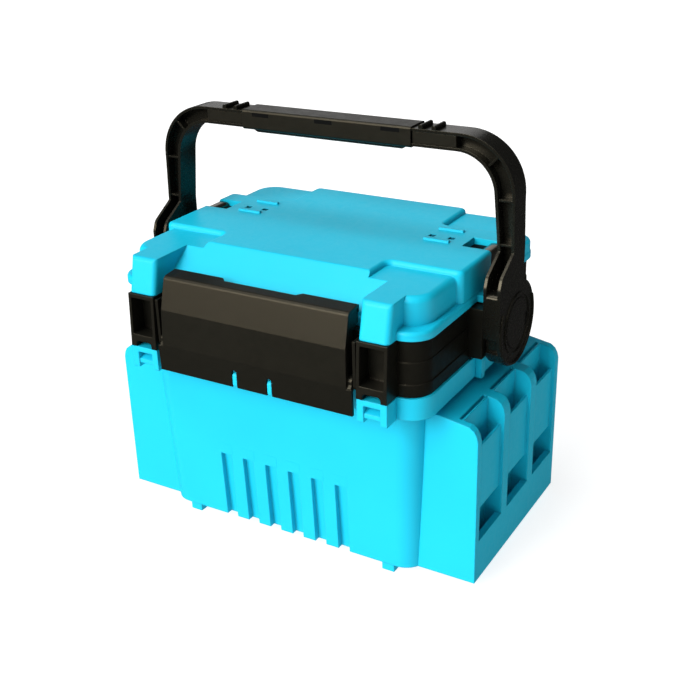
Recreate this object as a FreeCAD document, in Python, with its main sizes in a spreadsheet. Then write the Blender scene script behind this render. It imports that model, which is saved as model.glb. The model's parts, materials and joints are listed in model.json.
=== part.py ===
import FreeCAD, Part
import Sketcher
import math
import os
import re

# Tackle cabinet: a drafted tub with three open pockets on each side, a black tier that carries
# the handle, a stepped lid and a wide latch.  +X is the right side, -Y the front, +Z up.
# The origin lies on the floor under the middle of the cabinet.

SIZES = [
    # tub
    ("foot_height", 8.0),
    ("foot_length", 12.3),
    ("foot_depth", 9.0),
    ("foot_side_inset", 35.3),
    ("foot_inner_side", "=tub_base_half - foot_side_inset"),
    ("foot_inset", 1.0),
    ("foot_front", "=tub_base_front + foot_inset"),
    ("foot_back_inset", 12.0),
    ("foot_back", "=tub_base_back - foot_back_inset"),
    ("side_draft", 4.0),
    ("tub_base_half", "=tub_neck_half - side_draft"),
    ("end_draft", 8.0),
    ("tub_base_front", "=tub_neck_front + end_draft"),
    ("tub_base_back", "=tub_neck_back - end_draft"),
    ("tub_base_round", 20.0),
    ("neck_side_inset", 14.5),
    ("tub_neck_half", "=band_half - neck_side_inset"),
    ("neck_front_inset", 16.5),
    ("tub_neck_front", "=band_front + neck_front_inset"),
    ("neck_back_inset", 10.7),
    ("tub_neck_back", "=band_back - neck_back_inset"),
    ("tub_neck_round", "=tub_base_round"),
    ("collar_height", 20.0),
    ("tub_neck_level", "=collar_top - collar_height"),
    ("tub_wall", 2.6),
    ("tub_floor", 3.0),
    ("band_half", 157.0),
    ("band_front", -118.5),
    ("band_back", 128.7),
    ("band_round", 22.0),
    ("collar_top", 195.0),
    ("collar_ledge", 3.0),
    ("collar_wall", 3.0),
    ("flute_count", 6.0),
    ("flute_pitch", 25.4),
    ("flute_width", 12.0),
    ("flute_foot_depth", 6.0),
    ("flute_head_depth", 4.5),
    ("flute_top", 89.0),
    # side pockets
    ("rack_reach", 34.2),
    ("rack_half", "=band_half + rack_reach"),
    ("rack_front_inset", 9.6),
    ("rack_front", "=tub_base_front + rack_front_inset"),
    ("rack_back_inset", 2.0),
    ("rack_back", "=tub_base_back - rack_back_inset"),
    ("rack_drop", 7.0),
    ("rack_shoulder", "=tub_neck_level - rack_drop"),
    ("rack_crest", 12.0),
    ("rack_crest_side", "=tub_neck_half + rack_crest"),
    ("rack_slope_width", 8.2),
    ("rack_slope_side", "=rack_half - rack_slope_width"),
    ("rack_slope_fall", 5.0),
    ("rack_slope_level", "=rack_shoulder - rack_slope_fall"),
    ("rack_edge_fall", 13.0),
    ("rack_edge_level", "=rack_slope_level - rack_edge_fall"),
    ("pocket_end_wall", 7.6),
    ("pocket_rib", 13.0),
    ("pocket_recess", 3.7),
    ("pocket_skin", 2.4),
    ("pocket_floor", 12.0),
    ("pocket_reach", 16.6),
    ("pocket_inner_side", "=rack_half - pocket_reach"),
    ("pocket_slit", 2.6),
    ("pocket_slit_depth", 26.0),
    ("pocket_liner", 1.6),
    ("pocket_wall_drop", 28.5),
    ("pocket_wall_top", "=rack_shoulder - pocket_wall_drop"),
    ("rack_ledge", 5.0),
    ("rack_hollow_side", "=pocket_inner_side - pocket_liner - pocket_slit - pocket_skin"),
    ("window_bottom", 48.6),
    ("window_height", 28.4),
    ("window_top", "=window_bottom + window_height"),
    # front brackets, sockets and keepers
    ("bracket_side_inset", 52.9),
    ("bracket_inner_side", "=band_half - bracket_side_inset"),
    ("bracket_width", 28.3),
    ("bracket_reach", 16.7),
    ("bracket_front", "=band_front - bracket_reach"),
    ("bracket_drop", 20.8),
    ("bracket_bottom", "=collar_top - bracket_drop"),
    ("bracket_leg", 6.3),
    ("bracket_bar", 5.2),
    ("bracket_ramp", 4.0),
    ("bracket_relief", 0.8),
    ("socket_head_reach", 15.0),
    ("socket_head_front", "=band_front - socket_head_reach"),
    ("socket_foot_reach", 17.6),
    ("socket_foot_front", "=band_front - socket_foot_reach"),
    ("socket_skin", 2.8),
    ("socket_back", 2.0),
    ("socket_sill", 6.1),
    ("socket_lintel", 3.8),
    ("socket_leg", 5.4),
    ("socket_leg_drop", 5.5),
    ("socket_round", 3.5),
    ("keeper_offset", 18.2),
    ("keeper_width", 4.4),
    ("keeper_reach", 17.1),
    ("keeper_front", "=band_front - keeper_reach"),
    ("keeper_height", 13.7),
    ("keeper_bottom", "=keeper_top - keeper_height"),
    ("keeper_drop", 4.3),
    ("keeper_top", "=collar_top - keeper_drop"),
    ("keeper_round", 3.0),
    ("side_lug_reach", 6.2),
    ("side_lug_drop", 21.0),
    ("side_lug_half", 24.5),
    # tier
    ("part_gap", 0.3),
    ("top_belt_height", 20.0),
    ("tier_top", "=tier_mid_belt + top_belt_height"),
    ("tier_wall", 3.0),
    ("tier_inset", 2.0),
    ("tier_step", 0.8),
    ("low_belt_height", 11.5),
    ("tier_low_belt", "=collar_top + low_belt_height"),
    ("mid_belt_height", 19.5),
    ("tier_mid_belt", "=tier_low_belt + mid_belt_height"),
    ("tier_sill", 8.0),
    ("tier_sill_height", 3.0),
    ("tray_gap", 0.4),
    ("tray_wall", 2.2),
    ("tray_floor", 2.4),
    ("tray_drop", 4.0),
    ("tray_wall_offset", 46.0),
    ("divider_thickness", 1.8),
    ("divider_drop", 6.0),
    ("divider_slack", 0.3),
    # hinges
    ("hinge_offset", 4.2),
    ("knuckle_radius", 3.7),
    ("hinge_pin_radius", 2.0),
    ("running_clearance", 0.06),
    ("hinge_station", 95.0),
    ("knuckle_length", 20.0),
    ("knuckle_gap", 0.4),
    ("knuckle_web", 10.0),
    # lid
    ("lid_flange_height", 8.0),
    ("lid_flange_top", "=tier_top + lid_flange_height"),
    ("flange_round", 2.8),
    ("lid_low_height", 24.5),
    ("lid_low_top", "=lid_flange_top + lid_low_height"),
    ("lid_crown_height", 4.5),
    ("lid_top", "=lid_low_top + lid_crown_height"),
    ("lid_side_inset", 6.5),
    ("lid_low_half", "=band_half - lid_side_inset"),
    ("lid_front_inset", 13.0),
    ("lid_low_front", "=band_front + lid_front_inset"),
    ("lid_back_inset", 5.7),
    ("lid_low_back", "=band_back - lid_back_inset"),
    ("lid_low_round", 22.0),
    ("plateau_reach", 5.3),
    ("plateau_half", "=lid_low_half + plateau_reach"),
    ("ridge_reach", 28.0),
    ("plateau_front", "=ridge_front + ridge_reach"),
    ("ridge_back_reach", 55.5),
    ("plateau_back", "=ridge_back - ridge_back_reach"),
    ("ridge_side_inset", 18.5),
    ("ridge_half", "=bracket_inner_side - ridge_side_inset"),
    ("lid_slope_run", 34.0),
    ("ridge_front", "=lid_mouth_front + lid_slope_run"),
    ("lid_ledge", 0.5),
    ("ridge_back", "=lid_low_back - lid_ledge"),
    ("plateau_round", 6.0),
    ("lid_edge_round", 4.0),
    ("step_round", 6.0),
    ("lid_wall", 3.0),
    ("deck_height", 10.0),
    ("deck_inset", 0.8),
    ("deck_round", 3.5),
    ("deck_start", 52.0),
    ("lid_slope_fall", 24.5),
    ("lid_lug_reach", 6.0),
    ("lid_lip", 1.0),
    ("lid_mouth_front", "=lid_low_front - lid_lip"),
    ("column_foot_reach", 13.4),
    ("column_foot_front", "=band_front - column_foot_reach"),
    ("column_head_reach", 6.3),
    ("column_head_front", "=band_front - column_head_reach"),
    ("column_round", 4.5),
    ("column_tail", 12.5),
    ("column_back", "=ridge_front + column_tail"),
    ("notch_width", 28.0),
    ("notch_inner_side", "=plateau_half - notch_width"),
    ("notch_front", 16.5),
    ("notch_length", 26.0),
    ("notch_back", "=notch_front + notch_length"),
    ("notch_depth", 11.5),
    ("notch_floor", "=lid_low_top - notch_depth"),
    ("catch_width", 8.0),
    ("catch_inset", 0.4),
    ("catch_rise", 14.0),
    ("catch_floor_rise", 5.0),
    ("rail_offset", 3.4),
    ("rail_inner_side", "=ridge_half + rail_offset"),
    ("rail_length", 25.0),
    ("rail_width", 3.0),
    ("rail_rise", 2.0),
    ("rail_front", 17.5),
    ("rail_pitch", 32.0),
    ("socket_hole", 6.0),
    ("socket_hole_depth", 3.0),
    ("socket_hole_line", 31.3),
    ("socket_hole_inset", 2.5),
    ("socket_hole_near", "=rail_inner_side + socket_hole_inset"),
    ("socket_hole_pitch", 19.5),
    ("socket_hole_far", "=socket_hole_near + socket_hole_pitch"),
    # latch
    ("latch_foot_gap", 3.9),
    ("latch_foot_half", "=bracket_inner_side - latch_foot_gap"),
    ("latch_taper", 1.3),
    ("latch_head_half", "=latch_side_half - latch_taper"),
    ("latch_shoulder_width", 4.9),
    ("latch_side_half", "=latch_foot_half - latch_shoulder_width"),
    ("latch_shoulder_drop", 1.0),
    ("latch_shoulder", "=latch_belly - latch_shoulder_drop"),
    ("latch_foot_reach", 17.3),
    ("latch_foot_front", "=band_front - latch_foot_reach"),
    ("latch_drop", 17.6),
    ("latch_foot", "=collar_top - latch_drop"),
    ("latch_swell", 0.8),
    ("latch_belly_front", "=latch_foot_front - latch_swell"),
    ("latch_belly_height", 25.6),
    ("latch_belly", "=latch_foot + latch_belly_height"),
    ("latch_lean", 1.7),
    ("latch_crease_front", "=latch_belly_front + latch_lean"),
    ("latch_crease_drop", 9.5),
    ("latch_crease", "=tier_top - latch_crease_drop"),
    ("latch_slant", 7.3),
    ("latch_head_front", "=latch_crease_front + latch_slant"),
    ("latch_rise", 20.0),
    ("latch_head", "=tier_top + latch_rise"),
    ("latch_top_round", 4.0),
    ("latch_lip_gap", 3.5),
    ("latch_back", "=lid_mouth_front - latch_lip_gap"),
    ("latch_skin", 3.0),
    ("latch_cut_half", 42.4),
    ("latch_cut_depth", 6.0),
    ("latch_slot_slack", 0.8),
    ("latch_slot_width", "=keeper_width + latch_slot_slack"),
    ("latch_slot_play", 3.3),
    ("latch_slot_top", "=keeper_top + latch_slot_play"),
    ("latch_ear_width", 7.0),
    ("latch_ear_radius", 5.2),
    ("latch_pivot_reach", 10.0),
    ("latch_pivot_front", "=band_front - latch_pivot_reach"),
    ("latch_pivot_rise", 11.5),
    ("latch_pivot_level", "=collar_top + latch_pivot_rise"),
    ("latch_pin_radius", 2.4),
    ("latch_side_gap", 0.6),
    ("latch_hook_drop", 4.0),
    ("latch_end_plate", 3.2),
    ("latch_band_gap", 2.6),
    ("pivot_plate", 2.8),
    ("pivot_plate_gap", 1.7),
    ("pivot_plate_lift", 4.5),
    ("pivot_plate_bottom", "=collar_top + pivot_plate_lift"),
    ("pivot_plate_drop", 2.0),
    ("pivot_plate_top", "=tier_top - pivot_plate_drop"),
    # handle
    ("pivot_line", 9.7),
    ("pivot_rise", 27.8),
    ("pivot_level", "=collar_top + pivot_rise"),
    ("boss_depth", 11.2),
    ("boss_reach", "=band_half + boss_depth"),
    ("boss_half", 37.5),
    ("boss_lift", 4.0),
    ("boss_bottom", "=collar_top + boss_lift"),
    ("boss_drop", 1.0),
    ("boss_top", "=tier_top - boss_drop"),
    ("bolt_radius", 7.0),
    ("bolt_seat", 6.0),
    ("hub_gap", 0.5),
    ("drum_radius", 38.0),
    ("drum_depth", 7.3),
    ("drum_side", "=boss_reach + drum_depth"),
    ("disc_rim", 1.0),
    ("disc_radius", "=drum_radius + disc_rim"),
    ("hub_notch_height", 15.0),
    ("hub_notch_low", "=hub_notch_high - hub_notch_height"),
    ("hub_notch_drop", 3.3),
    ("hub_notch_high", "=pivot_level - hub_notch_drop"),
    ("hub_notch_depth", 9.0),
    ("cap_radius", 22.6),
    ("cap_seat", 2.0),
    ("cap_thickness", 2.4),
    ("arm_gap", 1.0),
    ("arm_inner_side", "=boss_reach + arm_gap"),
    ("arm_width", 15.3),
    ("arm_outer_side", "=arm_inner_side + arm_width"),
    ("arm_half_depth", 12.3),
    ("kink_rise", 67.7),
    ("kink_level", "=pivot_level + kink_rise"),
    ("flare_reach", 40.7),
    ("flare_front", "=pivot_line - flare_reach"),
    ("flare_rise", 43.2),
    ("flare_level", "=pivot_level + flare_rise"),
    ("flare_shoulder", 9.5),
    ("channel_drop", 5.0),
    ("channel_foot", "=flare_level - channel_drop"),
    ("lip_radius", 5.0),
    ("low_rib_rise", 4.7),
    ("low_rib_level", "=kink_level + low_rib_rise"),
    ("high_rib_rise", 4.0),
    ("high_rib_level", "=bend_level + high_rib_rise"),
    ("bar_rib_reach", 31.0),
    ("bar_rib_offset", "=grip_half + bar_rib_reach"),
    ("bend_rise", 39.5),
    ("bend_level", "=kink_level + bend_rise"),
    ("bend_round", 51.0),
    ("bend_inner_lean", 3.6),
    ("bend_inner_side", "=arm_inner_side - bend_inner_lean"),
    ("bend_outer_lean", 1.1),
    ("bend_outer_side", "=arm_outer_side - bend_outer_lean"),
    ("bar_height", 15.6),
    ("bar_bottom", "=bar_top - bar_height"),
    ("bar_rise", 58.3),
    ("bar_top", "=bend_level + bar_rise"),
    ("handle_flange", 2.6),
    ("handle_web", 4.0),
    ("handle_rib", 1.8),
    ("grip_half", 87.0),
    ("grip_skin", 1.2),
    ("grip_round", 2.2),
    ("grip_slack", 0.1),
    ("grip_drop", 3.6),
    ("grip_foot_inset", 12.0),
    ("grip_foot_half", "=grip_half - grip_foot_inset"),
    ("grip_pad_half", 7.5),
    ("grip_slot_length", 18.0),
    ("grip_slot_height", 2.5),
    ("grip_slot_drop", 2.7),
    ("grip_slot_level", "=bar_top - grip_slot_drop"),
    ("grip_slot_offset", 67.1),
    ("lace_inset", 8.6),
    ("lace_near", "=grip_half + lace_inset"),
    ("lace_pitch", 12.4),
    ("lace_far", "=lace_near + lace_pitch"),
    ("lace_radius", 2.0),
    ("lace_rise", 3.7),
    ("lace_length", 21.0),
]

doc = FreeCAD.newDocument("tackle_cabinet")
sheet = doc.addObject("Spreadsheet::Sheet", "Sizes")
for row, (alias, size) in enumerate(SIZES, start=1):
    sheet.set("A%d" % row, alias)
    sheet.setAlias("B%d" % row, alias)
for row, (alias, size) in enumerate(SIZES, start=1):
    sheet.set("B%d" % row, str(size))
doc.recompute()
NAMES = set(alias for alias, size in SIZES)
SUBPARTS = []


def num(text):
    """Value of an expression written in the sheet's own words."""
    return float(sheet.evalExpression(str(text)))


def cells(text):
    """The same expression with each word pointing at its cell."""
    return re.sub(r"[a-z][a-z_]*", lambda m: "Sizes." + m.group(0) if m.group(0) in NAMES else m.group(0), str(text))


def bind(obj, prop, text):
    obj.setExpression(prop, cells(text))


def subpart(obj, label):
    obj.Label = label
    SUBPARTS.append(obj)
    return obj


def new_body(name):
    return doc.addObject("PartDesign::Body", name)


def origin_plane(body, role):
    for item in body.Origin.OriginFeatures:
        if item.Role == role:
            return item
    raise RuntimeError("no plane " + role)


def new_sketch(body, name, role, offset="0"):
    sketch = body.newObject("Sketcher::SketchObject", name)
    sketch.AttachmentSupport = [(origin_plane(body, role), "")]
    sketch.MapMode = "FlatFace"
    bind(sketch, "AttachmentOffset.Base.z", offset)
    return sketch


def fix_point(sketch, geo, pos, across, along):
    """Hold one end of a line at a place given by two expressions."""
    here = sketch.addConstraint(Sketcher.Constraint("DistanceX", -1, 1, geo, pos, num(across)))
    sketch.setExpression("Constraints[%d]" % here, cells(across))
    here = sketch.addConstraint(Sketcher.Constraint("DistanceY", -1, 1, geo, pos, num(along)))
    sketch.setExpression("Constraints[%d]" % here, cells(along))


def polygon(sketch, points):
    """Closed outline through points given as pairs of expressions."""
    spots = [FreeCAD.Vector(num(a), num(b), 0) for a, b in points]
    first = sketch.GeometryCount
    total = len(spots)
    for i in range(total):
        sketch.addGeometry(Part.LineSegment(spots[i], spots[(i + 1) % total]), False)
    for i in range(total):
        sketch.addConstraint(Sketcher.Constraint("Coincident", first + i, 2, first + (i + 1) % total, 1))
    for i in range(total):
        fix_point(sketch, first + i, 1, points[i][0], points[i][1])
    return sketch


def smooth_polygon(sketch, points, rounds):
    """Closed outline through points, with round corners at the numbered ones."""
    spots = [FreeCAD.Vector(num(a), num(b), 0) for a, b in points]
    total = len(spots)
    starts = list(spots)
    ends = list(spots)
    arcs = {}
    for i in rounds:
        radius = num(rounds[i])
        back = (spots[i - 1] - spots[i]).normalize()
        ahead = (spots[(i + 1) % total] - spots[i]).normalize()
        half = back.getAngle(ahead) / 2
        ends[i] = spots[i] + back * (radius / math.tan(half))
        starts[i] = spots[i] + ahead * (radius / math.tan(half))
        middle = spots[i] + (back + ahead).normalize() * (radius / math.sin(half))
        left_turn = (back * -1).cross(ahead).z > 0
        arcs[i] = (middle, radius, left_turn)
    first = sketch.GeometryCount
    for i in range(total):
        sketch.addGeometry(Part.LineSegment(starts[i], ends[(i + 1) % total]), False)
    for i in range(total):
        if i in arcs:
            round_corner(sketch, first, i, total, ends[i], starts[i], arcs[i], rounds[i])
            fix_corner(sketch, first + i, first + (i - 1) % total, spots[i], points[i])
        else:
            sketch.addConstraint(Sketcher.Constraint("Coincident", first + (i - 1) % total, 2, first + i, 1))
            fix_point(sketch, first + i, 1, points[i][0], points[i][1])
    return sketch


def round_corner(sketch, first, i, total, meet, leave, arc, text):
    middle, radius, left_turn = arc
    angle_in = math.atan2(meet.y - middle.y, meet.x - middle.x)
    angle_out = math.atan2(leave.y - middle.y, leave.x - middle.x)
    ring = Part.Circle(middle, FreeCAD.Vector(0, 0, 1), radius)
    if left_turn:
        geo = sketch.addGeometry(Part.ArcOfCircle(ring, angle_in, angle_out), False)
    else:
        geo = sketch.addGeometry(Part.ArcOfCircle(ring, angle_out, angle_in), False)
    head, tail = (1, 2) if left_turn else (2, 1)
    before = first + (i - 1) % total
    sketch.addConstraint(Sketcher.Constraint("Tangent", before, 2, geo, head))
    sketch.addConstraint(Sketcher.Constraint("Tangent", geo, tail, first + i, 1))
    here = sketch.addConstraint(Sketcher.Constraint("Radius", geo, radius))
    sketch.setExpression("Constraints[%d]" % here, cells(text))


def fix_corner(sketch, after, before, spot, pair_text):
    """Hold the point where two sides would meet if the corner were sharp."""
    mark = sketch.addGeometry(Part.Point(spot), True)
    sketch.addConstraint(Sketcher.Constraint("PointOnObject", mark, 1, before))
    sketch.addConstraint(Sketcher.Constraint("PointOnObject", mark, 1, after))
    fix_point(sketch, mark, 1, pair_text[0], pair_text[1])


def rectangle(sketch, left, right, low, high):
    return polygon(sketch, [(left, low), (right, low), (right, high), (left, high)])


def circle(sketch, across, along, radius):
    geo = sketch.addGeometry(
        Part.Circle(FreeCAD.Vector(num(across), num(along), 0), FreeCAD.Vector(0, 0, 1), num(radius)), False)
    here = sketch.addConstraint(Sketcher.Constraint("Radius", geo, num(radius)))
    sketch.setExpression("Constraints[%d]" % here, cells(radius))
    fix_point(sketch, geo, 3, across, along)
    return sketch


def rounded(sketch, left, right, low, high, radius):
    """Rectangle with four equal round corners."""
    radius = "(%s)" % radius
    x0, x1, y0, y1, r = num(left), num(right), num(low), num(high), num(radius)
    vec = FreeCAD.Vector
    lines = [
        (vec(x0 + r, y0, 0), vec(x1 - r, y0, 0)),
        (vec(x1, y0 + r, 0), vec(x1, y1 - r, 0)),
        (vec(x1 - r, y1, 0), vec(x0 + r, y1, 0)),
        (vec(x0, y1 - r, 0), vec(x0, y0 + r, 0)),
    ]
    arcs = [
        (vec(x1 - r, y0 + r, 0), -90, 0),
        (vec(x1 - r, y1 - r, 0), 0, 90),
        (vec(x0 + r, y1 - r, 0), 90, 180),
        (vec(x0 + r, y0 + r, 0), 180, 270),
    ]
    first = sketch.GeometryCount
    rad = 3.141592653589793 / 180.0
    for i in range(4):
        sketch.addGeometry(Part.LineSegment(lines[i][0], lines[i][1]), False)
        ring = Part.Circle(arcs[i][0], vec(0, 0, 1), r)
        sketch.addGeometry(Part.ArcOfCircle(ring, arcs[i][1] * rad, arcs[i][2] * rad), False)
    for i in range(4):
        line = first + 2 * i
        arc = line + 1
        after = first + (2 * i + 2) % 8
        sketch.addConstraint(Sketcher.Constraint("Tangent", line, 2, arc, 1))
        sketch.addConstraint(Sketcher.Constraint("Tangent", arc, 2, after, 1))
    for i in range(3):
        sketch.addConstraint(Sketcher.Constraint("Equal", first + 1, first + 3 + 2 * i))
    here = sketch.addConstraint(Sketcher.Constraint("Radius", first + 1, r))
    sketch.setExpression("Constraints[%d]" % here, cells(radius))
    sketch.addConstraint(Sketcher.Constraint("Horizontal", first))
    sketch.addConstraint(Sketcher.Constraint("Vertical", first + 2))
    fix_point(sketch, first, 1, "%s + %s" % (left, radius), low)
    fix_point(sketch, first + 4, 1, "%s - %s" % (right, radius), high)
    return sketch


def feature(body, kind, name, sketch):
    item = body.newObject("PartDesign::" + kind, name)
    item.Profile = sketch
    return item


def pad(body, name, sketch, length):
    item = feature(body, "Pad", name, sketch)
    bind(item, "Length", length)
    sketch.Visibility = False
    doc.recompute()
    return item


def pocket(body, name, sketch, length):
    """Cut along the sketch's own normal, and make sure that it removes material."""
    before = body.Shape.Volume
    item = feature(body, "Pocket", name, sketch)
    item.Reversed = True
    bind(item, "Length", length)
    doc.recompute()
    if body.Shape.Volume > before - 1e-3:
        raise RuntimeError("pocket %s cuts nothing" % name)
    return item


def loft(body, kind, name, sketches):
    item = feature(body, kind, name, sketches[0])
    item.Sections = sketches[1:]
    item.Ruled = True
    doc.recompute()
    return item


def along_x(body, feature_list, name, pitch, count):
    """Repeat features along +X."""
    item = body.newObject("PartDesign::LinearPattern", name)
    item.Originals = feature_list
    item.Direction = (origin_plane(body, "X_Axis"), [""])
    item.Mode = "Spacing"
    bind(item, "Offset", pitch)
    bind(item, "Occurrences", count)
    body.Tip = item
    doc.recompute()
    return item


def along(body, feature_list, name, axis, pitch, count):
    item = body.newObject("PartDesign::LinearPattern", name)
    item.Originals = feature_list
    item.Direction = (origin_plane(body, axis), [""])
    item.Mode = "Spacing"
    bind(item, "Offset", pitch)
    bind(item, "Occurrences", count)
    body.Tip = item
    doc.recompute()
    return item


def mirror_features(body, feature_list, name):
    """Repeat features on the other side of the middle plane."""
    item = body.newObject("PartDesign::Mirrored", name)
    item.Originals = feature_list
    item.MirrorPlane = (origin_plane(body, "YZ_Plane"), [""])
    body.Tip = item
    doc.recompute()
    return item


def edge_names(shape, test):
    names = []
    for i, edge in enumerate(shape.Edges, start=1):
        if test(edge):
            names.append("Edge%d" % i)
    return names


def fillet(body, name, test, radius):
    base = body.Tip
    names = edge_names(base.Shape, test)
    if not names:
        raise RuntimeError("no edges for " + name)
    item = body.newObject("PartDesign::Fillet", name)
    item.Base = (base, names)
    bind(item, "Radius", radius)
    doc.recompute()
    if "Invalid" in item.State or item.Shape.isNull() or not item.Shape.isValid():
        raise RuntimeError("fillet %s fails" % name)
    return item


def near(a, b, slack=0.02):
    return abs(a - b) < slack


def upright(edge):
    box = edge.BoundBox
    return box.XLength < 0.01 and box.YLength < 0.01


def flat_at(edge, level):
    box = edge.BoundBox
    return near(box.ZMin, level) and near(box.ZMax, level)


def mirrored(obj, name):
    twin = doc.addObject("Part::Mirroring", name)
    twin.Source = obj
    twin.Base = FreeCAD.Vector(0, 0, 0)
    twin.Normal = FreeCAD.Vector(1, 0, 0)
    return twin


def group(name, items):
    item = doc.addObject("Part::Compound", name)
    item.Links = items
    return item


def pair(obj, label):
    """A right-hand piece and its mirror image as one node."""
    return subpart(group(label + "_pair", [obj, mirrored(obj, label + "_twin")]), label)


def cut(name, base, tool):
    item = doc.addObject("Part::Cut", name)
    item.Base = base
    item.Tool = tool
    return item


BELT_IN = "(tier_inset + 2 * tier_step)"


def ring_outline(sketch, inset):
    return rounded(sketch, "-(band_half - %s)" % inset, "band_half - %s" % inset,
                   "band_front + %s" % inset, "band_back - %s" % inset, "band_round - %s" % inset)


# ---------------------------------------------------------------- tub

def tub_form(body, name, inset, floor, back_inset):
    """Drafted body of the tub, set in by a wall."""
    low = new_sketch(body, name + "Low", "XY_Plane", floor)
    rounded(low, "-(tub_base_half - %s)" % inset, "tub_base_half - %s" % inset,
            "tub_base_front + %s" % inset, "tub_base_back - %s" % inset,
            "tub_base_round - %s" % back_inset)
    top = new_sketch(body, name + "Top", "XY_Plane", "tub_neck_level")
    rounded(top, "-(tub_neck_half - %s)" % inset, "tub_neck_half - %s" % inset,
            "tub_neck_front + %s" % inset, "tub_neck_back - %s" % inset,
            "tub_neck_round - %s" % back_inset)
    return [low, top]


def make_tub():
    body = new_body("Tub")
    loft(body, "AdditiveLoft", "TubBody", tub_form(body, "Outer", "0", "foot_height", "0"))
    collar = new_sketch(body, "CollarOutline", "XY_Plane", "tub_neck_level")
    ring_outline(collar, "0")
    pad(body, "Collar", collar, "collar_top - tub_neck_level")
    # hollow, with the front wall bulging inward behind each flute
    hollow = tub_form(body, "Inner", "tub_wall", "foot_height + tub_floor", "tub_wall")
    loft(body, "SubtractiveLoft", "Hollow", hollow)
    throat = new_sketch(body, "ThroatOutline", "XY_Plane", "tub_neck_level")
    rounded(throat, "-(tub_neck_half - tub_wall)", "tub_neck_half - tub_wall",
            "tub_neck_front + tub_wall", "tub_neck_back - tub_wall", "tub_neck_round - tub_wall")
    pocket(body, "Throat", throat, "collar_ledge")
    mouth = new_sketch(body, "MouthOutline", "XY_Plane", "tub_neck_level + collar_ledge")
    ring_outline(mouth, "collar_wall")
    pocket(body, "Mouth", mouth, "collar_top - tub_neck_level - collar_ledge")
    back = new_sketch(body, "FluteBackProfile", "YZ_Plane",
                      "-(flute_count - 1) / 2 * flute_pitch - flute_width / 2 - tub_wall")
    slope = "(tub_neck_front - tub_base_front) / (tub_neck_level - foot_height)"
    fall = "(%s * (flute_top - foot_height))" % slope
    polygon(back, [
        ("tub_base_front + 0.5 * tub_wall", "foot_height"),
        ("tub_base_front + flute_foot_depth + tub_wall", "foot_height"),
        ("tub_base_front + flute_head_depth + tub_wall + %s" % fall, "flute_top + tub_wall"),
        ("tub_base_front + 0.5 * tub_wall + %s" % fall, "flute_top + tub_wall"),
    ])
    backs = pad(body, "FluteBack", back, "flute_width + 2 * tub_wall")
    along_x(body, [backs], "FluteBacks", "flute_pitch", "flute_count")
    groove = new_sketch(body, "FluteProfile", "YZ_Plane",
                        "-(flute_count - 1) / 2 * flute_pitch - flute_width / 2")
    polygon(groove, [
        ("tub_base_front - 2 * tub_wall", "foot_height"),
        ("tub_base_front + flute_foot_depth", "foot_height"),
        ("tub_base_front + flute_head_depth + %s" % fall, "flute_top"),
        ("tub_base_front - 2 * tub_wall + %s" % fall, "flute_top"),
    ])
    grooves = pocket(body, "Flute", groove, "flute_width")
    along_x(body, [grooves], "Flutes", "flute_pitch", "flute_count")
    return subpart(body, "tub_shell")


def make_feet():
    body = new_body("Feet")
    front = new_sketch(body, "FrontFootOutline", "XY_Plane")
    rectangle(front, "foot_inner_side", "foot_inner_side + foot_length", "foot_front", "foot_front + foot_depth")
    pad(body, "FrontFoot", front, "foot_height")
    rear_body = new_body("RearFeet")
    rear = new_sketch(rear_body, "RearFootOutline", "XY_Plane")
    rectangle(rear, "foot_inner_side", "foot_inner_side + foot_length", "foot_back - foot_depth", "foot_back")
    pad(rear_body, "RearFoot", rear, "foot_height")
    return subpart(group("FeetGroup", [body, mirrored(body, "FrontFootTwin"), rear_body,
                                       mirrored(rear_body, "RearFootTwin")]), "feet")


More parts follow.
